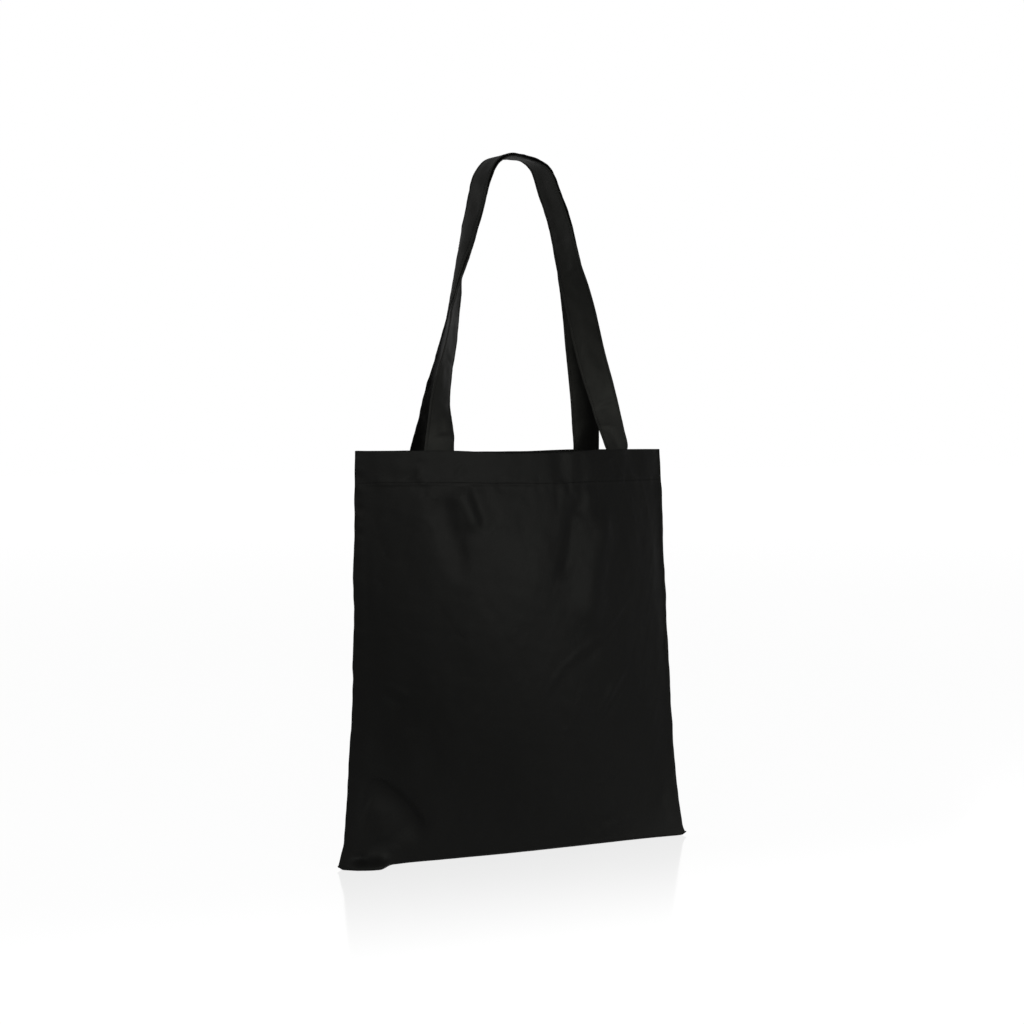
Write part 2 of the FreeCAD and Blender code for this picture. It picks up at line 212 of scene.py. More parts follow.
# ---------------------------------------------------------------- materials
def fabric(name, colour, rough, sheen, specular, weave_pitch, bump, blotch=0.16, tint=(1.0, 1.0, 0.97), gloss=(0.985, 1.0, 0.93)):
    m = bpy.data.materials.new(name)
    m.use_nodes = True
    t = m.node_tree
    t.nodes.clear()
    out = t.nodes.new("ShaderNodeOutputMaterial")
    p = t.nodes.new("ShaderNodeBsdfPrincipled")
    t.links.new(p.outputs[0], out.inputs[0])
    at = t.nodes.new("ShaderNodeAttribute")
    at.attribute_name = "weave"
    # warp and weft, as two crossed sets of threads that pass over each other
    waves = []
    for k, direction in enumerate(("X", "Y")):
        w = t.nodes.new("ShaderNodeTexWave")
        w.wave_type = "BANDS"
        w.bands_direction = direction
        w.wave_profile = "SIN"
        w.inputs["Scale"].default_value = 0.314 / weave_pitch * 1000.0 / 1000.0
        w.inputs["Distortion"].default_value = 0.6
        w.inputs["Detail"].default_value = 1.0
        w.inputs["Detail Scale"].default_value = 0.4
        waves.append(w)
    sep = t.nodes.new("ShaderNodeSeparateXYZ")
    t.links.new(at.outputs["Vector"], sep.inputs[0])
    flat = t.nodes.new("ShaderNodeCombineXYZ")
    t.links.new(sep.outputs[0], flat.inputs[0])
    t.links.new(sep.outputs[1], flat.inputs[1])
    for w in waves:
        t.links.new(flat.outputs[0], w.inputs["Vector"])
    cross = t.nodes.new("ShaderNodeMath")
    cross.operation = "MULTIPLY"
    t.links.new(waves[0].outputs["Fac"], cross.inputs[0])
    t.links.new(waves[1].outputs["Fac"], cross.inputs[1])
    fine = t.nodes.new("ShaderNodeTexNoise")
    fine.inputs["Scale"].default_value = 900.0
    fine.inputs["Detail"].default_value = 2.0
    t.links.new(at.outputs["Vector"], fine.inputs["Vector"])
    add = t.nodes.new("ShaderNodeMath")
    add.operation = "ADD"
    t.links.new(cross.outputs[0], add.inputs[0])
    t.links.new(fine.outputs["Fac"], add.inputs[1])
    # faint creasing of thin cloth, between the modelled folds and the weave
    crumple = t.nodes.new("ShaderNodeTexNoise")
    crumple.inputs["Scale"].default_value = 55.0
    crumple.inputs["Detail"].default_value = 3.0
    crumple.inputs["Roughness"].default_value = 0.55
    t.links.new(at.outputs["Vector"], crumple.inputs["Vector"])
    b2 = t.nodes.new("ShaderNodeBump")
    b2.inputs["Strength"].default_value = 0.30
    b2.inputs["Distance"].default_value = 0.0011
    t.links.new(crumple.outputs["Fac"], b2.inputs["Height"])
    b1 = t.nodes.new("ShaderNodeBump")
    b1.inputs["Strength"].default_value = bump
    b1.inputs["Distance"].default_value = 0.0001
    t.links.new(add.outputs[0], b1.inputs["Height"])
    t.links.new(b2.outputs[0], b1.inputs["Normal"])
    t.links.new(b1.outputs[0], p.inputs["Normal"])
    # colour: threads, and slow unevenness of the dye
    slow = t.nodes.new("ShaderNodeTexNoise")
    slow.inputs["Scale"].default_value = 9.0
    slow.inputs["Detail"].default_value = 4.0
    t.links.new(at.outputs["Vector"], slow.inputs["Vector"])
    ramp = t.nodes.new("ShaderNodeValToRGB")
    ramp.color_ramp.elements[0].position = 0.25
    ramp.color_ramp.elements[1].position = 0.75
    lo = [colour * c * (1 - blotch) for c in tint]
    hi = [colour * c * (1 + blotch) for c in tint]
    ramp.color_ramp.elements[0].color = (*lo, 1)
    ramp.color_ramp.elements[1].color = (*hi, 1)
    t.links.new(slow.outputs["Fac"], ramp.inputs[0])
    mix = t.nodes.new("ShaderNodeMixRGB")
    mix.blend_type = "MULTIPLY"
    mix.inputs[0].default_value = 0.35
    t.links.new(ramp.outputs[0], mix.inputs[1])
    t.links.new(cross.outputs[0], mix.inputs[2])
    t.links.new(mix.outputs[0], p.inputs["Base Color"])
    rr = t.nodes.new("ShaderNodeMapRange")
    rr.inputs["To Min"].default_value = rough - 0.05
    rr.inputs["To Max"].default_value = rough + 0.07
    t.links.new(slow.outputs["Fac"], rr.inputs["Value"])
    t.links.new(rr.outputs[0], p.inputs["Roughness"])
    p.inputs["Specular IOR Level"].default_value = specular
    p.inputs["Specular Tint"].default_value = (*gloss, 1)
    p.inputs["Sheen Weight"].default_value = sheen
    p.inputs["Sheen Roughness"].default_value = 0.45
    return m


CLOTH = fabric("panel_taffeta", 0.0034, 0.51, 0.004, 0.062, 0.0007, 0.20)
STRAP = fabric("strap_taffeta", 0.0050, 0.54, 0.005, 0.098, 0.0007, 0.25, tint=(1.0, 1.0, 0.95), gloss=(0.98, 1.0, 0.88))
THREAD = fabric("black_thread", 0.0050, 0.65, 0.004, 0.020, 0.0004, 0.4)

# ---------------------------------------------------------------- the cloth tube
# height, half width, swell of one panel, turn about Z, as the construction has them
LEVELS = [
    (0.0, 189.6, 10.0, -7.62), (6.4, 189.0, 11.0, -7.39), (26.0, 186.3, 17.0, -6.67),
    (56.0, 183.9, 26.0, -5.57), (107.4, 182.3, 36.7, -3.69), (200.0, 180.5, 46.0, -0.30),
    (300.0, 182.3, 45.0, 3.37), (388.0, 185.4, 35.5, 6.59), (420.0, 186.6, 32.0, 7.76),
]
f_half = spline([l[0] for l in LEVELS], [l[1] for l in LEVELS])
f_swell = spline([l[0] for l in LEVELS], [l[2] for l in LEVELS])
f_turn = spline([l[0] for l in LEVELS], [l[3] for l in LEVELS])
TOP = 420.0
SPLIT = 106.0
EDGE = 0.55
PANEL_T = 0.45
HEM_LOW = 388.6
HEM_STITCH = 391.6


def hem_drop(s, side):
    """The hem of the front is turned a little deeper towards the right."""
    return (2.5 + 2.2 * smooth(s, -0.2, 0.7)) if side < 0 else 0.0 * s


def hem_sag(s, side):
    """Between the straps the top edge hangs a little."""
    deep = 3.0 if side < 0 else 1.7
    return deep * (1 - smooth(np.abs(s + 0.02), 0.12, 0.50))


def polyline_field(x, z, pts, sigma, height, taper=0.25, kind="ridge", skew=0.0):
    """Height of one fold: a ridge along a line of (s, z) points, narrowing to nothing at its ends."""
    p = np.array([(a * 183.0, b) for a, b in pts], float)
    if len(p) > 2:
        seg = np.concatenate([[0], np.cumsum(np.linalg.norm(np.diff(p, axis=0), axis=1))])
        fx, fz = spline(seg, p[:, 0]), spline(seg, p[:, 1])
        tt = np.linspace(0, seg[-1], 8 * (len(p) - 1) + 1)
        p = np.stack([fx(tt), fz(tt)], -1)
    seg = np.linalg.norm(np.diff(p, axis=0), axis=1)
    run = np.concatenate([[0], np.cumsum(seg)])
    total = run[-1]
    best = np.full(x.shape, 1e9)
    along = np.zeros(x.shape)
    signed = np.zeros(x.shape)
    for i in range(len(p) - 1):
        d = (p[i + 1] - p[i]) / seg[i]
        rx, rz = x - p[i, 0], z - p[i, 1]
        q = np.clip(rx * d[0] + rz * d[1], 0, seg[i])
        ex, ez = rx - q * d[0], rz - q * d[1]
        dist = np.hypot(ex, ez)
        near = dist < best
        best = np.where(near, dist, best)
        along = np.where(near, run[i] + q, along)
        signed = np.where(near, np.where(d[0] * rz - d[1] * rx >= 0, 1.0, -1.0) * dist, signed)
    u = along / total
    fade = smooth(u, 0, taper) * (1 - smooth(u, 1 - taper, 1)) if taper > 0 else 1.0
    wide = sigma * (0.55 + 0.45 * fade)
    if kind == "ridge":
        side = np.where(signed >= 0, 1 + skew, 1 - skew)
        return height * fade * np.exp(-0.5 * (best / (wide * side)) ** 2)
    # step: the cloth lies higher on one side of the line and falls back slowly
    step = np.where(signed >= 0, np.exp(-signed / (wide * 5.0)), 0.0) * smooth(signed, -wide * 0.5, wide * 1.2)
    return height * fade * step


# folds of the front panel: points (share of half width, height), width, height, taper, kind
FRONT_FOLDS = [
    # soft uprights in the hem
    ([(-0.300, 424), (-0.305, 388)], 8.0, 0.70, 0.0, "ridge", 0),
    ([(-0.180, 424), (-0.184, 388)], 3.0, 0.30, 0.0, "ridge", 0),
    ([(-0.050, 424), (-0.040, 388)], 12.0, 0.50, 0.0, "ridge", 0),
    ([(0.115, 424), (0.105, 388)], 5.0, 0.45, 0.0, "ridge", 0),
    ([(0.180, 420), (0.168, 388)], 3.4, -0.40, 0.1, "ridge", 0),
    ([(0.240, 420), (0.225, 386)], 3.4, 0.50, 0.1, "ridge", 0),
    ([(0.300, 420), (0.292, 386)], 3.2, -0.40, 0.1, "ridge", 0),
    ([(0.350, 420), (0.360, 386)], 4.0, 0.60, 0.1, "ridge", 0),
    ([(0.500, 412), (0.560, 390)], 5.0, 0.70, 0.2, "ridge", 0),
    ([(0.600, 416), (0.650, 392)], 8.0, -0.50, 0.2, "ridge", 0),
    # short gathers under the hem's stitching
    ([(0.173, 390), (0.178, 374)], 2.0, 0.40, 0.35, "ridge", 0),
    ([(0.205, 390), (0.210, 372)], 1.6, -0.35, 0.35, "ridge", 0),
    ([(0.238, 390), (0.242, 374)], 2.0, 0.40, 0.35, "ridge", 0),
    ([(0.290, 390), (0.292, 372)], 2.2, -0.35, 0.35, "ridge", 0),
    ([(0.333, 391), (0.338, 372)], 2.2, 0.45, 0.35, "ridge", 0),
    ([(0.128, 388), (0.122, 354)], 2.4, -0.55, 0.35, "ridge", 0),
    # puckers round the left strap
    ([(-0.640, 413), (-0.700, 402), (-0.775, 389)], 3.2, -0.75, 0.3, "ridge", 0),
    ([(-0.685, 410), (-0.684, 388)], 3.0, 0.60, 0.3, "ridge", 0),
    ([(-0.655, 397), (-0.627, 388)], 1.6, -0.40, 0.3, "ridge", 0),
    ([(-0.655, 389), (-0.655, 372)], 1.5, -0.45, 0.35, "ridge", 0),
    ([(-0.420, 408), (-0.490, 394)], 2.2, 0.50, 0.3, "ridge", 0),
    ([(-0.445, 412), (-0.515, 396)], 2.4, -0.40, 0.3, "ridge", 0),
    # folds that run down and in from the left strap
    ([(-0.575, 390), (-0.540, 352), (-0.490, 328), (-0.470, 285)], 8.0, -2.8, 0.3, "ridge", 0),
    ([(-0.480, 390), (-0.430, 366), (-0.355, 338)], 7.0, 2.3, 0.3, "ridge", 0),
    ([(-0.390, 391), (-0.372, 374), (-0.290, 338)], 6.0, -2.3, 0.3, "ridge", 0),
    ([(-0.190, 388), (-0.185, 330)], 17.0, 1.2, 0.35, "ridge", 0),
    # folds that run down and in from the right strap
    ([(0.375, 388), (0.345, 366), (0.200, 340)], 5.5, 1.8, 0.3, "ridge", 0),
    ([(0.360, 376), (0.262, 352), (0.215, 328), (0.180, 303), (0.080, 286)], 7.5, -3.2, 0.25, "ridge", 0),
    ([(0.520, 366), (0.440, 340), (0.370, 305), (0.335, 262), (0.300, 225)], 13.0, 4.0, 0.25, "ridge", 0),
    ([(0.680, 268), (0.560, 248), (0.430, 226), (0.300, 216), (0.120, 190), (0.020, 160)], 3.2, 0.7, 0.25, "ridge", 0),
    ([(0.640, 256), (0.500, 232), (0.380, 214), (0.240, 196)], 6.0, -0.9, 0.3, "ridge", 0),
    ([(0.640, 196), (0.530, 172), (0.400, 140)], 3.6, 0.8, 0.3, "ridge", 0),
    ([(0.640, 186), (0.540, 160), (0.420, 130)], 5.0, -0.7, 0.3, "ridge", 0),
    # lower left: the heavy curved fold and the cloth behind it
    ([(-0.965, 91), (-0.870, 87), (-0.782, 76), (-0.690, 60), (-0.620, 43), (-0.555, 20)], 13.5, -8.4, 0.28, "ridge", -0.48),
    ([(-0.930, 62), (-0.830, 58), (-0.760, 44), (-0.720, 22)], 10.0, 2.2, 0.25, "ridge", 0),
    ([(-0.985, 9), (-0.930, 10), (-0.850, 9)], 3.3, -3.2, 0.3, "ridge", 0),
    ([(-0.870, 150), (-0.815, 120), (-0.745, 92)], 10.0, -2.0, 0.3, "ridge", 0),
    ([(-0.790, 150), (-0.720, 116), (-0.600, 84)], 13.0, 1.6, 0.3, "ridge", 0),
    ([(-0.850, 191), (-0.700, 176)], 3.0, 0.7, 0.3, "ridge", 0),
    ([(-0.860, 184), (-0.720, 168)], 4.0, -0.7, 0.3, "ridge", 0),
    # lower right
    ([(0.440, 12), (0.488, 27), (0.545, 30)], 3.2, -0.9, 0.3, "ridge", 0),
    ([(0.480, 10), (0.530, 20), (0.590, 24)], 3.6, 0.8, 0.3, "ridge", 0),
    ([(0.880, 60), (0.930, 30), (0.985, 12)], 5.0, -1.2, 0.3, "ridge", 0),
    # near the left side
    ([(-0.955, 352), (-0.945, 290), (-0.940, 220)], 2.6, -0.7, 0.3, "ridge", 0),
    ([(-0.915, 330), (-0.905, 250)], 4.0, 0.5, 0.35, "ridge", 0),
]

BACK_FOLDS = [
    ([(-0.300, 424), (-0.300, 388)], 7.0, 0.55, 0.0, "ridge", 0),
    ([(0.020, 424), (0.020, 388)], 10.0, 0.50, 0.0, "ridge", 0),
    ([(0.330, 424), (0.325, 388)], 6.0, 0.60, 0.0, "ridge", 0),
    ([(-0.640, 390), (-0.600, 350), (-0.500, 300)], 6.0, -1.6, 0.3, "ridge", 0),
    ([(-0.470, 390), (-0.400, 350), (-0.310, 322)], 6.5, 1.6, 0.3, "ridge", 0),
    ([(-0.540, 388), (-0.520, 330), (-0.560, 260)], 8.0, 1.3, 0.3, "ridge", 0),
    ([(0.460, 390), (0.390, 352), (0.280, 330)], 6.0, 1.5, 0.3, "ridge", 0),
    ([(0.560, 390), (0.500, 340), (0.470, 270)], 7.0, -1.8, 0.3, "ridge", 0),
    ([(0.660, 388), (0.690, 330), (0.640, 250)], 9.0, 1.5, 0.3, "ridge", 0),
    ([(-0.200, 250), (0.050, 215), (0.300, 200)], 9.0, -1.2, 0.3, "ridge", 0),
    ([(0.980, 92), (0.860, 84), (0.740, 62), (0.640, 24)], 8.0, -3.4, 0.2, "ridge", 0),
    ([(0.920, 60), (0.820, 46), (0.760, 22)], 10.0, 2.4, 0.25, "ridge", 0),
    ([(-0.975, 80), (-0.850, 66), (-0.700, 30)], 8.0, -2.6, 0.25, "ridge", 0),
    ([(-0.700, 200), (-0.560, 170), (-0.450, 120)], 8.0, 1.3, 0.3, "ridge", 0),
    ([(0.173, 390), (0.178, 374)], 2.0, 0.40, 0.35, "ridge", 0),
    ([(-0.425, 390), (-0.430, 372)], 2.0, -0.45, 0.35, "ridge", 0),
    ([(-0.620, 390), (-0.615, 370)], 1.8, 0.45, 0.35, "ridge", 0),
    ([(0.620, 390), (0.622, 372)], 1.8, -0.45, 0.35, "ridge", 0),
    ([(0.500, 390), (0.495, 373)], 2.0, 0.45, 0.35, "ridge", 0),
]


def relief(s, z, side):
    """How far the cloth stands out of the plain tube, in millimetres."""
    x = s * 183.0
    zz = z + 0 * x
    h = np.zeros(x.shape)
    for pts, sigma, height, taper, kind, skew in (FRONT_FOLDS if side < 0 else BACK_FOLDS):
        h += polyline_field(x, zz, pts, sigma, height, taper, kind, skew)
    seed = 11 if side < 0 else 57
    body = smooth(zz, 0, 40) * (1 - 0.75 * smooth(zz, 372, 400))
    h += 0.75 * body * noise(x, zz, 70, 150, seed)
    h += 0.26 * body * noise(x, zz, 26, 60, seed + 1)
    h += 0.085 * (1 - 0.4 * smooth(zz, 385, 395)) * noise(x, zz, 9, 13, seed + 2)
    # short sharp creases where thin cloth has been handled
    c = noise(x, zz, 34, 44, seed + 6)
    h += 0.30 * body * np.exp(-(c / 0.10) ** 2) * smooth(noise(x, zz, 60, 70, seed + 7), 0.4, 1.3)
    c = noise(x + 0.4 * zz, zz, 30, 60, seed + 8)
    h -= 0.30 * body * np.exp(-(c / 0.09) ** 2) * smooth(noise(x, zz, 60, 70, seed + 9), 0.5, 1.3)
    zh = zz + hem_drop(s, side)
    h += 0.40 * smooth(zz, 386, 396) * noise(x, zz, 20, 60, seed + 3)
    # the stitch line pulls the hem in, with small gathers above and below it
    near = np.exp(-0.5 * ((zh - HEM_STITCH) / 5.5) ** 2)
    h += 0.13 * near * noise(x, zz, 6, 30, seed + 4)
    h -= 0.20 * np.exp(-0.5 * ((zh - HEM_STITCH) / 0.55) ** 2)
    # three layers of cloth in the hem
    h += 0.45 * smooth(zh, HEM_LOW - 1.4, HEM_LOW + 2.6)
    # the side seams draw the panels together
    edge = 1 - smooth(np.abs(s), 0.875, 0.975)
    pucker = 0.42 * noise(x * 0.2, zz, 60, 9, seed + 5) * np.exp(-((1 - np.abs(s)) * 183.0 / 7.0) ** 2)
    pucker = pucker * (0.25 + 0.75 * smooth(zz, 15, 110))
    return h * edge + pucker * (1 - smooth(np.abs(s), 0.99, 1.0))


NS = 170
u = np.linspace(-1, 1, NS + 1)
S = np.sign(u) * (1 - (1 - np.abs(u)) ** 1.18)      # a little closer together at the sides
S = np.sort(np.concatenate([S, [-0.9988, 0.9988]]))
NS = len(S) - 1
UP = np.unique(np.concatenate([
    np.arange(SPLIT, 384, 2.2), np.arange(384.1, 394, 0.45), np.arange(394.2, 417, 1.4),
    [417.2, 418.3, 419.0, 419.5]]))
LOWN = 56


def foot(s):
    """Depth and corner radius of the bottom at each place across."""
    deep = EDGE + (8.4 - EDGE) * (1 - s * s)
    return deep, np.minimum(6.0, 0.75 * deep)


def raised(s):
    """Between its corners the front bottom edge hangs just clear of the floor."""
    return 1.0 * smooth(s, -0.80, -0.60) * (1 - smooth(s, 0.78, 0.97))


def rounded(s):
    """The two bottom corners are a little round."""
    return 2.4 * smooth(np.abs(s), 0.972, 1.0) ** 1.5


def tube(s, z, side):
    c, b, t = f_half(z), f_swell(z), f_turn(z)
    x = c * s
    y = side * (EDGE + (b - EDGE) * (1 - s * s))
    return turned(x, y, z, t)


def sides_wobble(s, z):
    """The side seams aren't ruler straight."""
    left = 0.5 * noise(z * 0, z, 40, 46, 91) + 0.25 * noise(z * 0, z, 40, 14, 92)
    right = 0.5 * noise(z * 0, z, 40, 50, 93) + 0.25 * noise(z * 0, z, 40, 15, 94)
    k = smooth(np.abs(s), 0.86, 1.0)
    fade = smooth(z, 4, 20) * (1 - smooth(z, 405, 419))
    return np.where(s < 0, -left, right) * k * fade


def ears(s, z):
    """The bottom corners reach a little further out than the seam above them."""
    r = 3.2 * np.exp(-(z / 7.0) ** 2) * smooth(s, 0.93, 1.0)
    l = -1.2 * np.exp(-(z / 9.0) ** 2) * smooth(-s, 0.93, 1.0)
    return r + l + 1.7 * np.exp(-((z - 25.0) / 15.0) ** 2) * smooth(-s, 0.93, 1.0)


def edge_curl(inset, z):
    """The right-hand seam curls a little towards the front; inset is the distance in from the seam."""
    return (1.5 + 0.4 * noise(z * 0, z, 40, 22, 95)) * np.exp(-inset / 2.2) * smooth(z, 22, 70) * (1 - 0.6 * smooth(z, 400, 418))


def surface(s, z, side, extra=0.0):
    base = tube(s, z, side)
    ds = 1e-3
    dz = 0.25
    a = tube(np.clip(s + ds, -1, 1), z, side) - tube(np.clip(s - ds, -1, 1), z, side)
    c = tube(s, z + dz, side) - tube(s, z - dz, side)
    n = unit(np.cross(a, c)) * (1.0 if side < 0 else -1.0)
    p = base + n * (relief(s, z, side) + extra)[..., None]
    t = np.radians(f_turn(z))
    p[..., 2] -= hem_sag(s, side) * smooth(z, 350, 412)
    wob = sides_wobble(s, z) + ears(s, z)
    p[..., 0] += wob * np.cos(t)
    p[..., 1] += wob * np.sin(t)
    curl = edge_curl((1 - np.clip(s, 0, 1)) * 183.0, z + 0 * s)
    p[..., 0] += curl * np.sin(t)
    p[..., 1] -= curl * np.cos(t)
    if side < 0:
        # the left corner is spread out on the floor towards the front
        toe = 13.5 * np.exp(-(z / 10.0) ** 2) * smooth(-s, 0.71, 0.80) * (1 - 0.85 * smooth(-s, 0.90, 1.0)) * (1 - 0.30 * np.exp(-((s + 0.93) / 0.07) ** 2))
        p[..., 0] += toe * np.sin(t)
        p[..., 1] -= toe * np.cos(t)
    return p


def normals(p, side):
    a = np.gradient(p, axis=1)
    b = np.gradient(p, axis=0)
    n = unit(np.cross(a, b))
    # rows run upward; the outward side is +a x +b in front, and the other way at the back
    return n * (1.0 if side < 0 else -1.0)


# lower grid, from the split down to the corner, then under to the seam in the middle of the bottom
def lower_grid(side):
    deep, rad = foot(S)
    low = 0.25 + (raised(S) if side < 0 else 0.0 * S) + rounded(S)
    zb = rad + low
    v = np.linspace(1, 0, LOWN + 1)[:, None]
    v = 1 - (1 - v) ** 1.0
    z = zb[None, :] + (SPLIT - zb[None, :]) * v
    s = np.repeat(S[None, :], LOWN + 1, 0)
    p = surface(s, z, side)
    rows = [p]
    last = p[-1]
    t0 = np.radians(f_turn(0.0 * S))
    across = np.stack([np.sin(t0) * -side * -1, np.cos(t0) * side, 0 * t0], -1)
    inward = np.stack([np.sin(t0), -np.cos(t0), 0 * t0], -1) * side      # towards the middle plane
    for ang in (22, 45, 68, 90):
        a = math.radians(ang)
        q = last + inward * (rad * (1 - math.cos(a)))[:, None]
        q[:, 2] = low + rad * (1 - math.sin(a))
        rows.append(q[None])
    under = rows[-1][0]
    mid = turned(f_half(0.0 * S) * S, side * 0.30 + 0 * S, 0 * S, f_turn(0 * S))
    mid[:, :2] += (ears(S, 0 * S))[:, None] * np.stack([np.cos(t0), np.sin(t0)], -1)
    for q in (0.35, 0.68, 0.9, 1.0):
        m = under * (1 - q) + mid * q
        m[:, 2] = low * (1 - q) + (0.25 + rounded(S) + 0.9 * smooth(q, 0.68, 1.0)) * q
        rows.append(m[None])
    return np.concatenate(rows, 0)


S2 = np.repeat(S[None, :], len(UP), 0)
Z2 = np.repeat(UP[:, None], NS + 1, 1)
upper, lower, n_up, n_low = {}, {}, {}, {}
for side in (-1, 1):
    upper[side] = surface(S2, Z2, side)
    lower[side] = lower_grid(side)[::-1]          # rows now run upward, the last one at the split
    joined = np.concatenate([lower[side], upper[side][1:]], 0)
    n = normals(joined, side)
    k = len(lower[side])
    n_low[side], n_up[side] = n[:k], n[k - 1:]


def loops(front, back):
    """Rows round the tube: the front from left to right, then the back from right to left."""
    return np.concatenate([front, back[:, ::-1]], 1)


def weave_of(rows_z, thick):
    w = np.zeros((len(rows_z), 2 * (NS + 1), 3))
    x = np.concatenate([S * 185.0, 400.0 + S[::-1] * 185.0])
    w[..., 0] = x[None, :]
    w[..., 1] = np.asarray(rows_z)[:, None]
    w[..., 2] = thick
    return w


def hem_thick(z, side):
    zh = z[:, None] + hem_drop(S, side)[None, :]
    return (PANEL_T + 0.95 * smooth(zh, HEM_LOW - 1.2, HEM_LOW - 0.2))[..., None]


# ---- upper cloth, with the turned hem and a hidden skirt below the split
b = Build()
SK = np.array([98.0, 101.5, 104.6])
sk_s, sk_z = np.repeat(S[None, :], 3, 0), np.repeat(SK[:, None], NS + 1, 1)
outer_rows, inner_rows = [], []
for side in (-1, 1):
    skirt = surface(sk_s, sk_z, side, extra=-PANEL_T - 0.35)
    skirt_in = surface(sk_s, sk_z, side, extra=-PANEL_T - 0.75)
    th = hem_thick(UP, side)
    inner = upper[side] - n_up[side] * th
    inner[0] = surface(S2[:1], Z2[:1], side, extra=-PANEL_T - 0.75)[0]
    outer_rows.append(np.concatenate([skirt, upper[side]], 0))
    inner_rows.append(np.concatenate([skirt_in, inner], 0))
outer = loops(*outer_rows)
inner = loops(*inner_rows)
top_o, top_i = outer[-1], inner[-1]
rim = []
for ang in (30, 60, 90, 120, 150):
    a = math.radians(ang)
    mid, r = (top_o + top_i) / 2, (top_o - top_i) / 2
    q = mid + r * math.cos(a)
    q[:, 2] += np.linalg.norm(r, axis=1) * math.sin(a) * 0.8
    rim.append(q[None])
rows_z = np.concatenate([SK, UP])
all_rows = np.concatenate([outer] + rim + [inner[::-1]], 0)
wz = np.concatenate([rows_z, TOP + np.arange(1, 6) * 0.3, TOP + 2 + (TOP - rows_z[::-1])])
first = b.add(all_rows, weave_of(wz, 0.0))
idx = first + np.arange(all_rows.shape[0] * all_rows.shape[1]).reshape(all_rows.shape[:2])
b.grid(idx, wrap=True)
b.grid(np.stack([idx[-1], idx[0]]), wrap=True)
upper_ob = b.mesh("bag_upper_cloth", CLOTH)

# ---- lower cloth, closed along the bottom seam
b = Build()
low_outer = loops(lower[-1], lower[1])
low_inner_f = lower[-1] - n_low[-1] * PANEL_T
low_inner_b = lower[1] - n_low[1] * PANEL_T
for g, side in ((low_inner_f, -1), (low_inner_b, 1)):
    g[:8, :, 2] = np.maximum(g[:8, :, 2], lower[side][:8, :, 2] + PANEL_T)
low_inner = loops(low_inner_f, low_inner_b)
arc = np.concatenate([np.linspace(-12, 0, 8), np.linspace(0, SPLIT, LOWN + 1)])
all_rows = np.concatenate([low_outer, low_inner[::-1]], 0)
wz = np.concatenate([arc, 2 * SPLIT + 1 - arc[::-1]])
first = b.add(all_rows, weave_of(wz, 0.0))
idx = first + np.arange(all_rows.shape[0] * all_rows.shape[1]).reshape(all_rows.shape[:2])
b.grid(idx, wrap=True)
# along the bottom the two panels meet
n_half = NS + 1
bottom_front, bottom_back = idx[0, :n_half], idx[0, n_half:][::-1]
b.grid(np.stack([bottom_back, bottom_front]))
bi_front, bi_back = idx[-1, :n_half], idx[-1, n_half:][::-1]
b.grid(np.stack([bi_front, bi_back]))
lower_ob = b.mesh("bag_lower_cloth", CLOTH)


def keep_normals(ob, count, rows, wanted):
    """The two cloth pieces share their normals along the split."""
    me = ob.data
    vn = np.zeros(len(me.vertices) * 3, np.float32)
    me.vertex_normals.foreach_get("vector", vn)
    vn = vn.reshape(-1, 3)
    vn[rows] = wanted
    me.normals_split_custom_set_from_vertices(vn.tolist())


ring = 2 * (NS + 1)
want = unit(np.concatenate([n_up[-1][0], n_up[1][0][::-1]]))
keep_normals(upper_ob, 0, np.arange(3 * ring, 4 * ring), want)
keep_normals(lower_ob, 0, np.arange((len(lower[-1]) - 1) * ring, len(lower[-1]) * ring), want)

# the hem's own direction about Z; opens and folds below only bake each piece's transform into its mesh
hem_dir = math.radians(7.76)


def opens(ob):
    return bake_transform(ob)


def folds(ob):
    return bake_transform(ob)


# ---------------------------------------------------------------- rows of stitches on the cloth
def row_points(side, z, offs, count, lo=-0.985, hi=0.985, inside=False):
    s = np.linspace(lo, hi, count)[None, :]
    zz = z - hem_drop(s, side)
    p = surface(s, zz, side, extra=0.0)[0]
    e = 1e-3
    a = surface(s + e, zz, side)[0] - surface(s - e, zz, side)[0]
    c = surface(s, zz + 0.2, side)[0] - surface(s, zz - 0.2, side)[0]
    n = unit(np.cross(a, c)) * (1.0 if side < 0 else -1.0)
    return p + n * offs, n


def stitch_row(build, side, z, offs, pitch=3.0, length=2.35, radius=0.24, lift=0.12, lo=-0.985, hi=0.985):
    total = 2 * 185.0 * (hi - lo) / 2
    n = int(total / pitch)
    p, nn = row_points(side, z, offs, n * 6 + 1, lo, hi)
    i = np.arange(n) * 6
    k = max(1, int(round(6 * length / pitch)))
    a, c = p[i], p[i + k]
    m = nn[i] * (np.sign(offs) if offs < 0 else 1.0)
    stitches(build, a, c, radius, lift=m * lift)


b = Build()
for side in (-1, 1):
    stitch_row(b, side, HEM_STITCH, 0.10)
    stitch_row(b, side, HEM_STITCH, -(PANEL_T + 0.95) - 0.05)
hem_stitches = b.mesh("hem_stitches", THREAD)

# ---------------------------------------------------------------- seam allowances inside, with their overlock thread


def strip_lean(z, d, x_sign, seed):
    """How far the allowance leans to one side: no more than the room between the panels."""
    room = EDGE + (f_swell(z) - EDGE) * (1 - (1 - 7.3 / f_half(z)) ** 2) - PANEL_T - 0.85
    room = np.clip(room, 0.0, 1.5)
    lean = 1.3 * noise(z * 0, z, 40, 60, seed) + 0.4 * noise(z * 0, z, 40, 16, seed + 1)
    lean = room * np.tanh(lean / 1.2) * (d / 7.3) ** 2
    return lean - (edge_curl(d + 0 * z, z) if x_sign > 0 else 0.0)


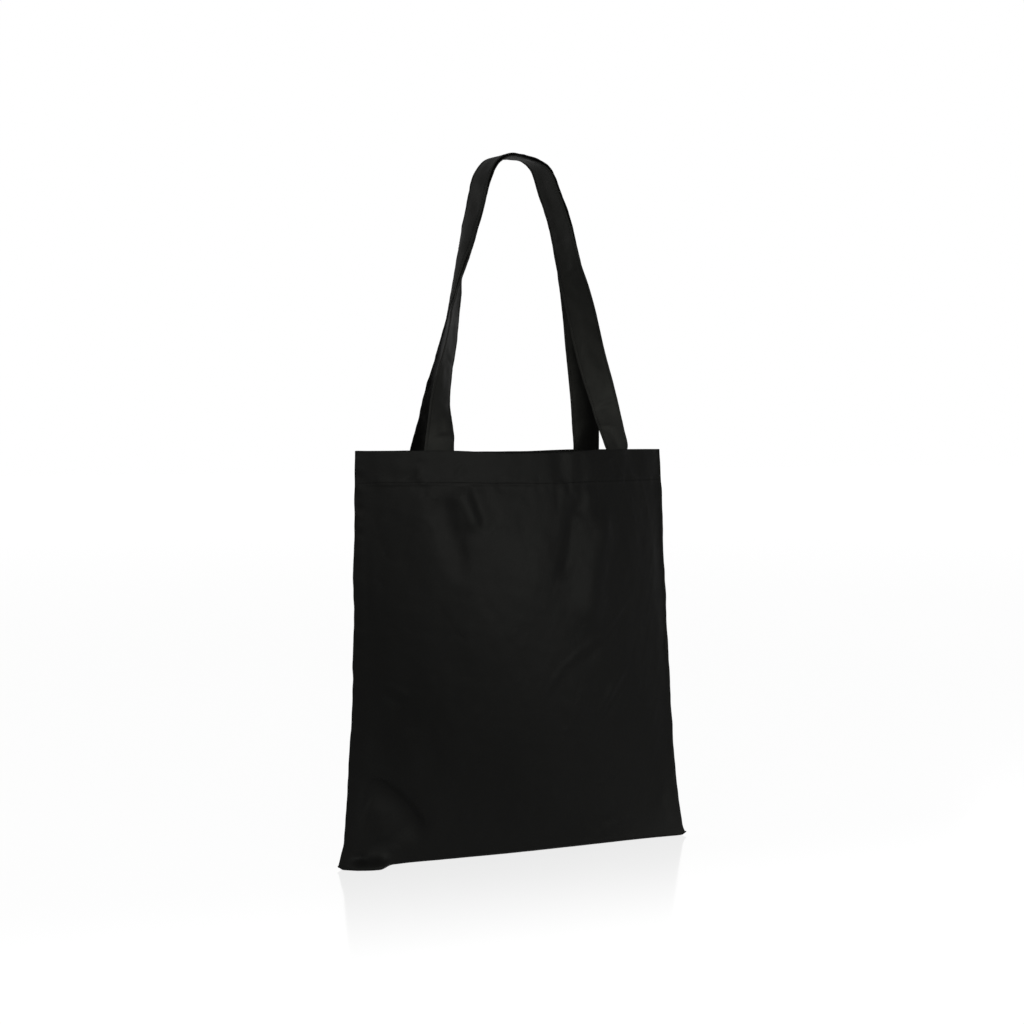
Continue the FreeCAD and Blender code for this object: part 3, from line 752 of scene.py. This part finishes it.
def seam_strip(build, thread, x_sign, z0, z1, seed):
    z = np.arange(z0, z1 + 0.01, 2.0)
    c, t = f_half(z), f_turn(z)
    cols = []
    for d, y in ((1.3, -0.30), (2.6, -0.36), (4.6, -0.38), (6.9, -0.34), (7.3, 0.0), (6.9, 0.34), (4.6, 0.38), (2.6, 0.36), (1.3, 0.30)):
        cols.append(turned(x_sign * (c - d), y + strip_lean(z, d, x_sign, seed), z, t))
    g = np.stack(cols, 1)
    w = np.zeros(g.shape)
    w[..., 0] = np.arange(g.shape[1])[None, :] * 1.4 + 900
    w[..., 1] = z[:, None]
    first = build.add(g, w)
    idx = first + np.arange(g.shape[0] * g.shape[1]).reshape(g.shape[:2])
    build.grid(idx, wrap=True, flip=x_sign < 0)
    for row, rev in ((idx[0], x_sign > 0), (idx[-1], x_sign < 0)):
        pts = row[::-1] if rev else row
        m = len(pts)
        for i in range(m // 2):
            q = [pts[i], pts[i + 1], pts[m - 2 - i], pts[m - 1 - i]]
            if len(set(q)) == 4:
                build.f.append(np.array([q]))
            else:
                build.f.append(np.array([[q[0], q[1], q[3]]]))
    # thread: slanting stitches over the cut edge on both faces
    zz = np.arange(z0 + 2, z1 - 3, 2.3)
    for face in (-1, 1):
        for part in (0, 1):
            za, zb = (zz, zz + 1.15) if part == 0 else (zz + 1.15, zz + 2.3)
            da, db = (7.25, 3.6) if part == 0 else (3.6, 7.25)

            def at(zq, d):
                cc, tt = f_half(zq), f_turn(zq)
                return turned(x_sign * (cc - d), face * 0.48 + strip_lean(zq, d, x_sign, seed), zq, tt)
            stitches(thread, at(za, da), at(zb, db), 0.2, sides=5)

        def at(zq, d):
            cc, tt = f_half(zq), f_turn(zq)
            return turned(x_sign * (cc - d), face * 0.46 + strip_lean(zq, d, x_sign, seed), zq, tt)
        stitches(thread, at(zz, 3.5), at(zz + 2.2, 3.5), 0.19, sides=5)


seams = {}
for word, z0, z1 in (("upper", SPLIT + 0.4, 418.6), ("lower", 9.0, SPLIT - 0.4)):
    for hand, sx in (("left", -1), ("right", 1)):
        cloth, thread = Build(), Build()
        seam_strip(cloth, thread, sx, z0, z1, 300 + (7 if sx > 0 else 0))
        seams[hand, word] = (cloth.mesh("%s_side_seam_%s_cloth" % (hand, word), CLOTH),
                             thread.mesh("%s_overlock_%s" % (hand, word), THREAD))

# bottom seam allowance, standing up in the middle of the bottom
cloth, thread = Build(), Build()
s = np.linspace(-0.97, 0.97, 190)
zb = 1.4
lean = 1.6 * noise(s * 185, s * 0, 60, 40, 401) + 0.5 * noise(s * 185, s * 0, 15, 40, 402)
cols = []
for h, y in ((0.0, -0.42), (2.4, -0.42), (4.6, -0.4), (6.6, -0.34), (7.0, 0.0), (6.6, 0.34), (4.6, 0.4), (2.4, 0.42), (0.0, 0.42)):
    cols.append(turned(f_half(0 * s) * s, y + lean * (h / 7.0) ** 2, zb + h + 0 * s, f_turn(0 * s)))
g = np.stack(cols, 1)
w = np.zeros(g.shape)
w[..., 0] = s[:, None] * 185
w[..., 1] = np.arange(g.shape[1])[None, :] * 1.4 - 60
first = cloth.add(g, w)
idx = first + np.arange(g.shape[0] * g.shape[1]).reshape(g.shape[:2])
cloth.grid(idx, wrap=True, flip=True)
for row, rev in ((idx[0], False), (idx[-1], True)):
    pts = row[::-1] if rev else row
    m = len(pts)
    for i in range(m // 2):
        q = [pts[i], pts[i + 1], pts[m - 2 - i], pts[m - 1 - i]]
        if len(set(q)) == 4:
            cloth.f.append(np.array([q]))
        else:
            cloth.f.append(np.array([[q[0], q[1], q[3]]]))
sp = np.arange(-0.965, 0.955, 2.3 / 189.0)


def low_at(sq, h, face):
    le = 1.6 * noise(sq * 185, sq * 0, 60, 40, 401) + 0.5 * noise(sq * 185, sq * 0, 15, 40, 402)
    return turned(f_half(0 * sq) * sq, face * 0.6 + le * (h / 7.0) ** 2, zb + h + 0 * sq, f_turn(0 * sq))


step = 2.3 / 189.0
for face in (-1, 1):
    stitches(thread, low_at(sp, 6.95, face), low_at(sp + step / 2, 3.4, face), 0.2, sides=5)
    stitches(thread, low_at(sp + step / 2, 3.4, face), low_at(sp + step, 6.95, face), 0.2, sides=5)
    stitches(thread, low_at(sp, 3.3, face), low_at(sp + step * 0.95, 3.3, face), 0.19, sides=5)
bottom_cloth = cloth.mesh("bottom_seam_cloth", CLOTH)
bottom_thread = thread.mesh("bottom_overlock", THREAD)

# ---------------------------------------------------------------- straps
LOOP = [(0.0, 102.0), (47.0, 95.4), (107.0, 85.7), (156.0, 76.2), (205.0, 64.7),
        (253.0, 50.6), (277.0, 40.4), (291.8, 26.8), (297.0, 0.0)]
LEAN = [(0.00, 0.00), (0.07, 0.06), (0.15, 0.17), (0.23, 0.29), (0.31, 0.38), (0.40, 0.47),
        (0.55, 0.63), (0.63, 0.76), (0.72, 0.90), (0.82, 0.97), (1.00, 1.00)]
# the front strap's left leg turns sooner
LEAN_FL = [(0.00, 0.00), (0.04, 0.05), (0.08, 0.14), (0.12, 0.24), (0.16, 0.31), (0.20, 0.37), (0.27, 0.44), (0.37, 0.50),
           (0.45, 0.55), (0.53, 0.61), (0.62, 0.75), (0.72, 0.90), (0.82, 0.97), (1.00, 1.00)]
LOOP_TOP = 297.0
STRAP_W, STRAP_T = 30.0, 1.1
SPREAD = {-1: 110.0, 1: 102.0}
NEST = 1.75


def leg_outline():
    pts = [(-b_, h_) for h_, b_ in LOOP[:-1]] + [(0.0, LOOP_TOP)] + [(b_, h_) for h_, b_ in reversed(LOOP[:-1])]
    p = np.array(pts, float)
    seg = np.concatenate([[0], np.cumsum(np.linalg.norm(np.diff(p, axis=0), axis=1))])
    fx, fz = spline(seg, p[:, 0]), spline(seg, p[:, 1])
    t = np.linspace(0, seg[-1], 4001)
    q = np.stack([fx(t), fz(t)], -1)
    run = np.concatenate([[0], np.cumsum(np.linalg.norm(np.diff(q, axis=0), axis=1))])
    return q, run


def hem_inside(side, x, z):
    """Where the inside of the hem is, in the hem's own turned frame: distance out, slope along x."""
    c, b_ = f_half(z), f_swell(z)
    y = EDGE + (b_ - EDGE) * (1 - (x / c) ** 2) + 0.45 - (PANEL_T + 0.95)
    slope = -2 * (b_ - EDGE) * x / c ** 2
    return y, slope


def strap_path(side, count=330):
    """Stations of one strap from its left tail over the top to its right tail."""
    q, run = leg_outline()
    t = np.linspace(0, run[-1], count + 1)
    x = np.interp(t, run, q[:, 0])
    h = np.maximum(np.interp(t, run, q[:, 1]), 0.0)
    dx, dz = np.gradient(x), np.gradient(np.interp(t, run, q[:, 1]))
    ln = np.hypot(dx, dz)
    dx, dz = dx / ln, dz / ln
    sx = np.where(np.arange(count + 1) < count / 2, -1.0, 1.0)
    uu = h / LOOP_TOP
    px, pz = x.copy(), h.copy()
    if side < 0:
        nest = NEST * smooth(h, 40.0, 110.0)
        ix, iz = dz, -dx
        flip = np.where(ix * (-x) + iz * (200.0 - h) < 0, -1.0, 1.0)
        px += ix * flip * nest
        pz += iz * flip * nest
        px += sx * (SPREAD[-1] - SPREAD[1]) * np.maximum(0.0, 1 - h / 150.0) ** 2
        px += np.where(sx > 0, 4.2 * (1 - smooth(h, 120.0, 215.0)),
                       4.2 * (1 - smooth(h, 6.0, 42.0)) - 0.6 * smooth(h, 25, 65) * (1 - smooth(h, 140, 190)))
    px -= 6.0 * smooth(h, 225.0, LOOP_TOP)
    px += (4.8 * smooth(x, 2, 24) + 1.8 * smooth(-x, 2, 24)) * smooth(h, 268, 292)
    px -= 3.4 * (x < 0) * smooth(h, 105, 150) * (1 - smooth(h, 215, 255))
    pz = pz + 1.3 * smooth(x, 0, 15) * (1 - smooth(x, 36, 60)) * (h > 200)
    y0 = np.where(side < 0, 19.0, 20.3)
    y = side * y0 * np.maximum(0.0, 1 - uu) ** 2.7
    pz = pz + TOP + 1.0 * (1 - uu) - 0.3 * smooth(h, 150, LOOP_TOP)
    turn = 7.76 + (14.0 - 7.76) * uu
    base_lean = 10.4
    lean0 = -base_lean * sx * side
    if side < 0:
        lean0 = np.where(sx > 0, -1.0, lean0)
    g = np.interp(uu, [a for a, _ in LEAN], [c for _, c in LEAN])
    g = 0.5 * g + 0.25 * (np.interp(np.clip(uu + 0.02, 0, 1), [a for a, _ in LEAN], [c for _, c in LEAN])
                          + np.interp(np.clip(uu - 0.02, 0, 1), [a for a, _ in LEAN], [c for _, c in LEAN]))
    if side < 0:
        g = np.where(sx < 0, np.interp(uu, [a for a, _ in LEAN_FL], [c for _, c in LEAN_FL]), g)
    g = np.where(uu < 1e-6, 0.0, g)
    lean = lean0 + (-sx * 90.0 - lean0) * g
    p = turned(px, y, pz, turn)
    wd = np.radians(turn + lean)
    wide = np.stack([np.cos(wd), np.sin(wd), 0 * wd], -1)
    mid = count // 2
    wide[mid + 1:] *= -1.0
    if wide[mid] @ wide[mid - 1] < 0:
        wide[mid] *= -1.0
    # tails down inside the hem
    tail = {}
    for hand, sgn in (("l", -1.0), ("r", 1.0)):
        zt = np.linspace(390.5, 419.5, 15)
        xt = np.full_like(zt, sgn * SPREAD[side] + ((3.0 if sgn > 0 else 4.2) if side < 0 else 0.0))
        yy, slope = hem_inside(side, xt, zt)
        yt = side * (yy - STRAP_T / 2 - 0.12)
        tt = f_turn(zt)
        pt = turned(xt, yt, zt, tt)
        ang = np.radians(tt) + np.arctan(slope * side)
        wt = np.stack([np.cos(ang), np.sin(ang), 0 * ang], -1)
        tail[hand] = (pt, wt)
    pl, wl = tail["l"]
    pr, wr = tail["r"]
    if wl[-1] @ wide[0] < 0:
        wl = -wl
    pr, wr = pr[::-1], wr[::-1]
    if wr[0] @ wide[-1] < 0:
        wr = -wr
    # the first few millimetres ease from the tail to the leg
    P = np.concatenate([pl, p, pr])
    W = np.concatenate([wl, wide, wr])
    for _ in range(6):
        P[8:-8] = 0.25 * P[7:-9] + 0.5 * P[8:-8] + 0.25 * P[9:-7]
        W[8:-8] = unit(0.25 * W[7:-9] + 0.5 * W[8:-8] + 0.25 * W[9:-7])
    along = unit(np.gradient(P, axis=0))
    square = smooth(P[:, 2], TOP, TOP + 45)[:, None]
    W = unit(W - along * np.sum(W * along, -1, keepdims=True) * square)
    N = unit(np.cross(along, W))
    run = np.concatenate([[0], np.cumsum(np.linalg.norm(np.diff(P, axis=0), axis=1))])
    # over the top the strap leans towards the front a little
    d = run - run[np.argmax(P[:, 2])]
    roll = np.radians(-10.0 * smooth(d, -26, 6) * (1 - smooth(d, 8, 50)))[:, None]
    front_edge = np.sign(W[len(W) // 2, 1])
    W, N = W * np.cos(roll) + N * np.sin(roll) * -front_edge * np.sign(N[len(N) // 2, 2]), N
    W = unit(W)
    N = unit(np.cross(along, W))
    return P, along, W, N, run


def strap(side, name, thread_name, tack_name):
    P, along, W, N, run = strap_path(side)
    total = run[-1]
    # small natural waver of the strap, shared by both so that they stay one on the other
    hgt = np.clip(P[:, 2] - TOP, 0, None)
    free = smooth(hgt, 8, 60)
    mirror = np.where(run < total / 2, run, total - run)
    left = run < total / 2
    lat = 0.5 * noise(mirror + np.where(left, 0, 900), run * 0, 90, 50, 501) * free
    nor = 0.5 * noise(mirror + np.where(left, 0, 900), run * 0, 70, 50, 502) * free
    P = P + W * lat[:, None] + N * nor[:, None]
    m = 26
    v = np.linspace(-1, 1, m + 1)
    half = STRAP_W / 2
    b_ = Build()
    T, R = [], []
    rr = run[:, None]
    vv = v[None, :] * half
    # relief of the two faces: edge folds, the stitch grooves, soft cross creases
    base = 0.10 * np.exp(-((half - np.abs(vv)) / 2.2) ** 2) * np.ones_like(rr)
    groove = -0.20 * np.exp(-0.5 * ((half - 2.2 - np.abs(vv)) / 0.45) ** 2)
    common = (0.42 * noise(vv, rr, 13, 26, 511 + side) + 0.10 * noise(vv, rr, 7, 8, 521 + side)
              + 0.13 * noise(vv * 0.3, rr, 20, 5, 531 + side) * np.exp(-((half - np.abs(vv)) / 4.0) ** 2))
    cross = np.zeros(common.shape)
    for at_, size, where, tilt in STRAP_CREASES[side]:
        line = rr - at_ - tilt * (vv - where)
        cross += size * np.exp(-0.5 * (line / 1.8) ** 2) * np.exp(-0.5 * ((vv - where) / 7.5) ** 2)
    roll = 0.9 * noise(rr, vv * 0, 120, 50, 541 + side) * free[:, None] * (vv / half) ** 2
    up = STRAP_T / 2 + base + groove
    faces = {}
    # the left leg is rolled into a shallow gutter where it turns
    gutter = 3.4 * (smooth(hgt, 112, 160) * (1 - smooth(hgt, 195, 245)) * left)[:, None] * (0.5 - (vv / half) ** 2)
    mid_shift = common * 0.8 + cross + roll + gutter
    for k in (1, -1):
        faces[k] = P[:, None, :] + W[:, None, :] * vv[..., None] + N[:, None, :] * (mid_shift + k * up)[..., None]
    # rounded edges
    edge_r = P[:, None] + W[:, None] * (half + np.array([0.35, 0.5, 0.35]))[None, :, None] \
        + N[:, None] * (mid_shift[:, -1:] + np.array([0.42, 0, -0.42])[None, :])[..., None]
    edge_l = P[:, None] - W[:, None] * (half + np.array([0.35, 0.5, 0.35]))[None, :, None] \
        + N[:, None] * (mid_shift[:, :1] + np.array([-0.42, 0, 0.42])[None, :])[..., None]
    g = np.concatenate([faces[1], edge_r, faces[-1][:, ::-1], edge_l], 1)
    w = np.zeros(g.shape)
    around = np.concatenate([v * half, half + np.array([0.4, 0.8, 1.2]), half * 2 + 1.6 + (v * half + half), np.array([0.4, 0.8, 1.2]) - half - 2])
    w[..., 0] = around[None, :] + side * 300
    w[..., 1] = run[:, None]
    first = b_.add(g, w)
    idx = first + np.arange(g.shape[0] * g.shape[1]).reshape(g.shape[:2])
    b_.grid(idx, wrap=True)
    # ends
    for j, flip in ((0, True), (len(P) - 1, False)):
        topf = idx[j, :m + 1]
        botf = idx[j, m + 4:2 * m + 5][::-1]
        b_.grid(np.stack([botf, topf]), flip=flip)
        er = idx[j, m + 1:m + 4]
        el = idx[j, 2 * m + 5:]
        capr = [topf[-1], er[0], er[1], botf[-1]]
        capr2 = [botf[-1], er[1], er[2]]
        capl = [botf[0], el[0], el[1], topf[0]]
        capl2 = [topf[0], el[1], el[2]]
        for q in (capr, capr2, capl, capl2):
            q = np.array([q])
            b_.f.append(q[:, ::-1] if not flip else q)
    ob = b_.mesh(name, STRAP)
    # edge stitching on both faces
    th = Build()
    pitch = 3.0
    n = int((total - 8) / pitch)
    a0 = 4 + np.arange(n) * pitch
    a1 = a0 + 2.3

    def on(at_, vpos, k, lift):
        pp = np.stack([np.interp(at_, run, P[:, i]) for i in range(3)], -1)
        ww = unit(np.stack([np.interp(at_, run, W[:, i]) for i in range(3)], -1))
        nn = unit(np.stack([np.interp(at_, run, N[:, i]) for i in range(3)], -1))
        col = np.clip(int(round((vpos / half + 1) / 2 * m)), 0, m)
        sh = np.interp(at_, run, mid_shift[:, col])
        return pp + ww * vpos + nn * (sh + k * (STRAP_T / 2 - 0.08) + k * lift)[:, None], nn
    for vp in (-(half - 2.2), half - 2.2):
        for k in (1, -1):
            A, nn = on(a0, vp, k, 0.0 * a0)
            B, _ = on(a1, vp, k, 0.0 * a0)
            stitches(th, A, B, 0.2, lift=nn * (k * 0.09), sides=5)
    st = th.mesh(thread_name, THREAD)
    # box and cross of stitches that hold each tail inside the hem
    tk = Build()
    inward = 1 if (N[4] @ np.array([math.sin(hem_dir), -math.cos(hem_dir), 0]) * side) > 0 else -1
    for start_, end_ in ((run[0] + 1.8, run[0] + 26.0), (run[-1] - 26.0, run[-1] - 1.8)):
        kin = inward
        if start_ > total / 2:
            kin = 1 if (N[-5] @ np.array([math.sin(hem_dir), -math.cos(hem_dir), 0]) * side) > 0 else -1
        lo_, hi_ = -11.0, 11.0
        lines = [((start_, lo_), (start_, hi_)), ((end_, lo_), (end_, hi_)), ((start_, lo_), (end_, lo_)),
                 ((start_, hi_), (end_, hi_)), ((start_, lo_), (end_, hi_)), ((end_, lo_), (start_, hi_))]
        for (ra, va), (rb, vb) in lines:
            ln = math.hypot(rb - ra, vb - va)
            k = int(ln / 2.8)
            t0 = (np.arange(k) + 0.1) / k
            t1 = (np.arange(k) + 0.88) / k
            pts = []
            for tt in (t0, t1):
                rr_, vv_ = ra + (rb - ra) * tt, va + (vb - va) * tt
                pp = np.stack([np.interp(rr_, run, P[:, i]) for i in range(3)], -1)
                ww = unit(np.stack([np.interp(rr_, run, W[:, i]) for i in range(3)], -1))
                nn = unit(np.stack([np.interp(rr_, run, N[:, i]) for i in range(3)], -1))
                col = np.clip(np.round((vv_ / half + 1) / 2 * m).astype(int), 0, m)
                row = np.clip(np.searchsorted(run, rr_), 0, len(run) - 1)
                sh = mid_shift[row, col]
                pts.append((pp + ww * vv_[:, None] + nn * (sh + kin * (STRAP_T / 2 + 0.02))[:, None], nn))
            stitches(tk, pts[0][0], pts[1][0], 0.22, lift=pts[0][1] * (kin * 0.1), sides=5)
    tko = tk.mesh(tack_name, THREAD)
    return ob, st, tko, run[-1]


# creases across the straps: place along, height, place across, slant
STRAP_CREASES = {
    -1: [(43.0, -0.50, 0.0, 0.20), (48.0, 0.45, 2.0, 0.20), (62.0, -0.45, 3.0, 0.15), (120.0, 0.45, 4.0, -0.3), (200.0, -0.45, -4.0, 0.3),
         (646.0, -0.75, -2.0, 0.1), (651.0, 0.40, 0.0, 0.1), (672.0, -0.55, 4.0, -0.2), (560.0, 0.5, 5.0, 0.3),
         (500.0, -0.5, -5.0, 0.4), (470.0, 0.4, 4.0, 0.3), (300.0, 0.3, 0.0, 0.2)],
    1: [(40.0, -0.30, 0.0, -0.2), (95.0, 0.25, 4.0, 0.3), (180.0, -0.22, -3.0, -0.3), (430.0, 0.2, 3.0, 0.2),
        (520.0, -0.28, 5.0, -0.5), (560.0, 0.3, -5.0, 0.5), (610.0, -0.25, 0.0, 0.2), (668.0, 0.3, 3.0, 0.2)],
}
front_strap, front_strap_thread, front_tack, front_long = strap(-1, "front_strap", "front_strap_stitches", "front_strap_tack")
back_strap, back_strap_thread, back_tack, back_long = strap(1, "back_strap", "back_strap_stitches", "back_strap_tack")
print("strap lengths mm", round(front_long, 1), round(back_long, 1))

# ---------------------------------------------------------------- bodies
for ob in (upper_ob, hem_stitches, *seams["left", "upper"], *seams["right", "upper"]):
    opens(ob)
for ob in (lower_ob, *seams["left", "lower"], *seams["right", "lower"], bottom_cloth, bottom_thread):
    folds(ob)
for ob in (front_strap, front_strap_thread):
    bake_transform(ob)
for ob in (back_strap, back_strap_thread):
    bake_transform(ob)
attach(front_tack, "front")
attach(back_tack, "bag")

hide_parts("front_panel_upper", "back_panel_upper", "front_hem", "back_hem")
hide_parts("front_hem_stitching", "back_hem_stitching")
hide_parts("front_panel_lower", "back_panel_lower")
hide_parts("bottom_seam")
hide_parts("bottom_overlock_thread")
for hand in ("left", "right"):
    for word in ("upper", "lower"):
        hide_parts("%s_side_seam_%s" % (hand, word))
        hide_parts("%s_overlock_thread_%s" % (hand, word))
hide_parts("front_handle_strap", "front_strap_ends")
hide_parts("back_handle_strap", "back_strap_ends")
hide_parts("front_handle_stitching")
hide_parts("back_handle_stitching")
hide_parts("front_tack_stitching")
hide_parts("back_tack_stitching")
for ob in bpy.data.objects:
    if ob.type == "MESH" and "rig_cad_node" not in ob:
        first = ob.data.materials[0] if ob.data.materials else None

# ---------------------------------------------------------------- studio
me = bpy.data.meshes.new("floor")
e = 14.0
me.from_pydata([(-e, -e, 0), (e, -e, 0), (e, e, 0), (-e, e, 0)], [], [(0, 1, 2, 3)])
floor = bpy.data.objects.new("floor", me)
bpy.context.scene.collection.objects.link(floor)
m = bpy.data.materials.new("floor_white")
m.use_nodes = True
t = m.node_tree
p = t.nodes["Principled BSDF"]
p.inputs["Base Color"].default_value = (0.06, 0.06, 0.06, 1)
p.inputs["Roughness"].default_value = 0.12
p.inputs["IOR"].default_value = 5.0
p.inputs["Emission Color"].default_value = (1, 1, 1, 1)
FLOOR_SEEN, FLOOR_LIGHT = 0.81, 0.48
path = t.nodes.new("ShaderNodeLightPath")
glow = t.nodes.new("ShaderNodeMapRange")
glow.inputs["To Min"].default_value = FLOOR_LIGHT
glow.inputs["To Max"].default_value = FLOOR_SEEN
t.links.new(path.outputs["Is Camera Ray"], glow.inputs["Value"])
t.links.new(glow.outputs[0], p.inputs["Emission Strength"])
# the polish of the floor dies away in front of the bag
place = t.nodes.new("ShaderNodeNewGeometry")
dot = t.nodes.new("ShaderNodeVectorMath")
dot.operation = "DOT_PRODUCT"
dot.inputs[1].default_value = (-0.1326, -0.9912, 0.0)
t.links.new(place.outputs["Position"], dot.inputs[0])
far = t.nodes.new("ShaderNodeMapRange")
far.interpolation_type = "SMOOTHSTEP"
far.inputs["From Min"].default_value = 0.0
far.inputs["From Max"].default_value = 0.34
t.links.new(dot.outputs["Value"], far.inputs["Value"])
flat_white = t.nodes.new("ShaderNodeEmission")
seen_white = t.nodes.new("ShaderNodeMapRange")
seen_white.inputs["To Min"].default_value = FLOOR_LIGHT
seen_white.inputs["To Max"].default_value = 1.05
t.links.new(path.outputs["Is Camera Ray"], seen_white.inputs["Value"])
t.links.new(seen_white.outputs[0], flat_white.inputs["Strength"])
blend_ = t.nodes.new("ShaderNodeMixShader")
t.links.new(far.outputs[0], blend_.inputs[0])
t.links.new(p.outputs[0], blend_.inputs[1])
t.links.new(flat_white.outputs[0], blend_.inputs[2])
t.links.new(blend_.outputs[0], t.nodes["Material Output"].inputs[0])
me.materials.append(m)

world = bpy.data.worlds.new("studio")
bpy.context.scene.world = world
world.use_nodes = True
t = world.node_tree
t.nodes.clear()
out = t.nodes.new("ShaderNodeOutputWorld")
mix = t.nodes.new("ShaderNodeMixShader")
soft = t.nodes.new("ShaderNodeBackground")
soft.inputs["Color"].default_value = (1, 1, 1, 1)
soft.inputs["Strength"].default_value = 0.33
seen = t.nodes.new("ShaderNodeBackground")
seen.inputs["Color"].default_value = (1, 1, 1, 1)
seen.inputs["Strength"].default_value = 1.0
path = t.nodes.new("ShaderNodeLightPath")
t.links.new(path.outputs["Is Camera Ray"], mix.inputs[0])
t.links.new(soft.outputs[0], mix.inputs[1])
t.links.new(seen.outputs[0], mix.inputs[2])
t.links.new(mix.outputs[0], out.inputs[0])


def area(name, where, at_, size, size_y, power):
    d = bpy.data.lights.new(name, "AREA")
    d.shape = "RECTANGLE"
    d.size, d.size_y = size, size_y
    d.energy = power
    o = bpy.data.objects.new(name, d)
    bpy.context.scene.collection.objects.link(o)
    o.location = where
    o.rotation_mode = "QUATERNION"
    o.rotation_quaternion = (Vector(at_) - Vector(where)).to_track_quat("-Z", "Y")
    return o


area("key_light", (1.093, -2.343, 0.602), (0.0, 0.0, 0.33), 1.3, 1.3, 31)
area("front_light", (0.0, -2.586, 0.602), (0.0, 0.0, 0.33), 1.6, 1.3, 23)
area("side_light", (-2.153, -1.243, 1.09), (0.0, 0.0, 0.33), 1.3, 1.3, 19)
area("rim_right", (1.926, 0.898, 0.899), (0.0, 0.0, 0.33), 0.6, 0.6, 2.5)
area("rim_left", (-1.719, 1.249, 0.899), (0.0, 0.0, 0.40), 0.9, 0.9, 9)
area("top_light", (0.0, 0.2, 2.2), (0, 0, 0.3), 1.6, 1.2, 8)
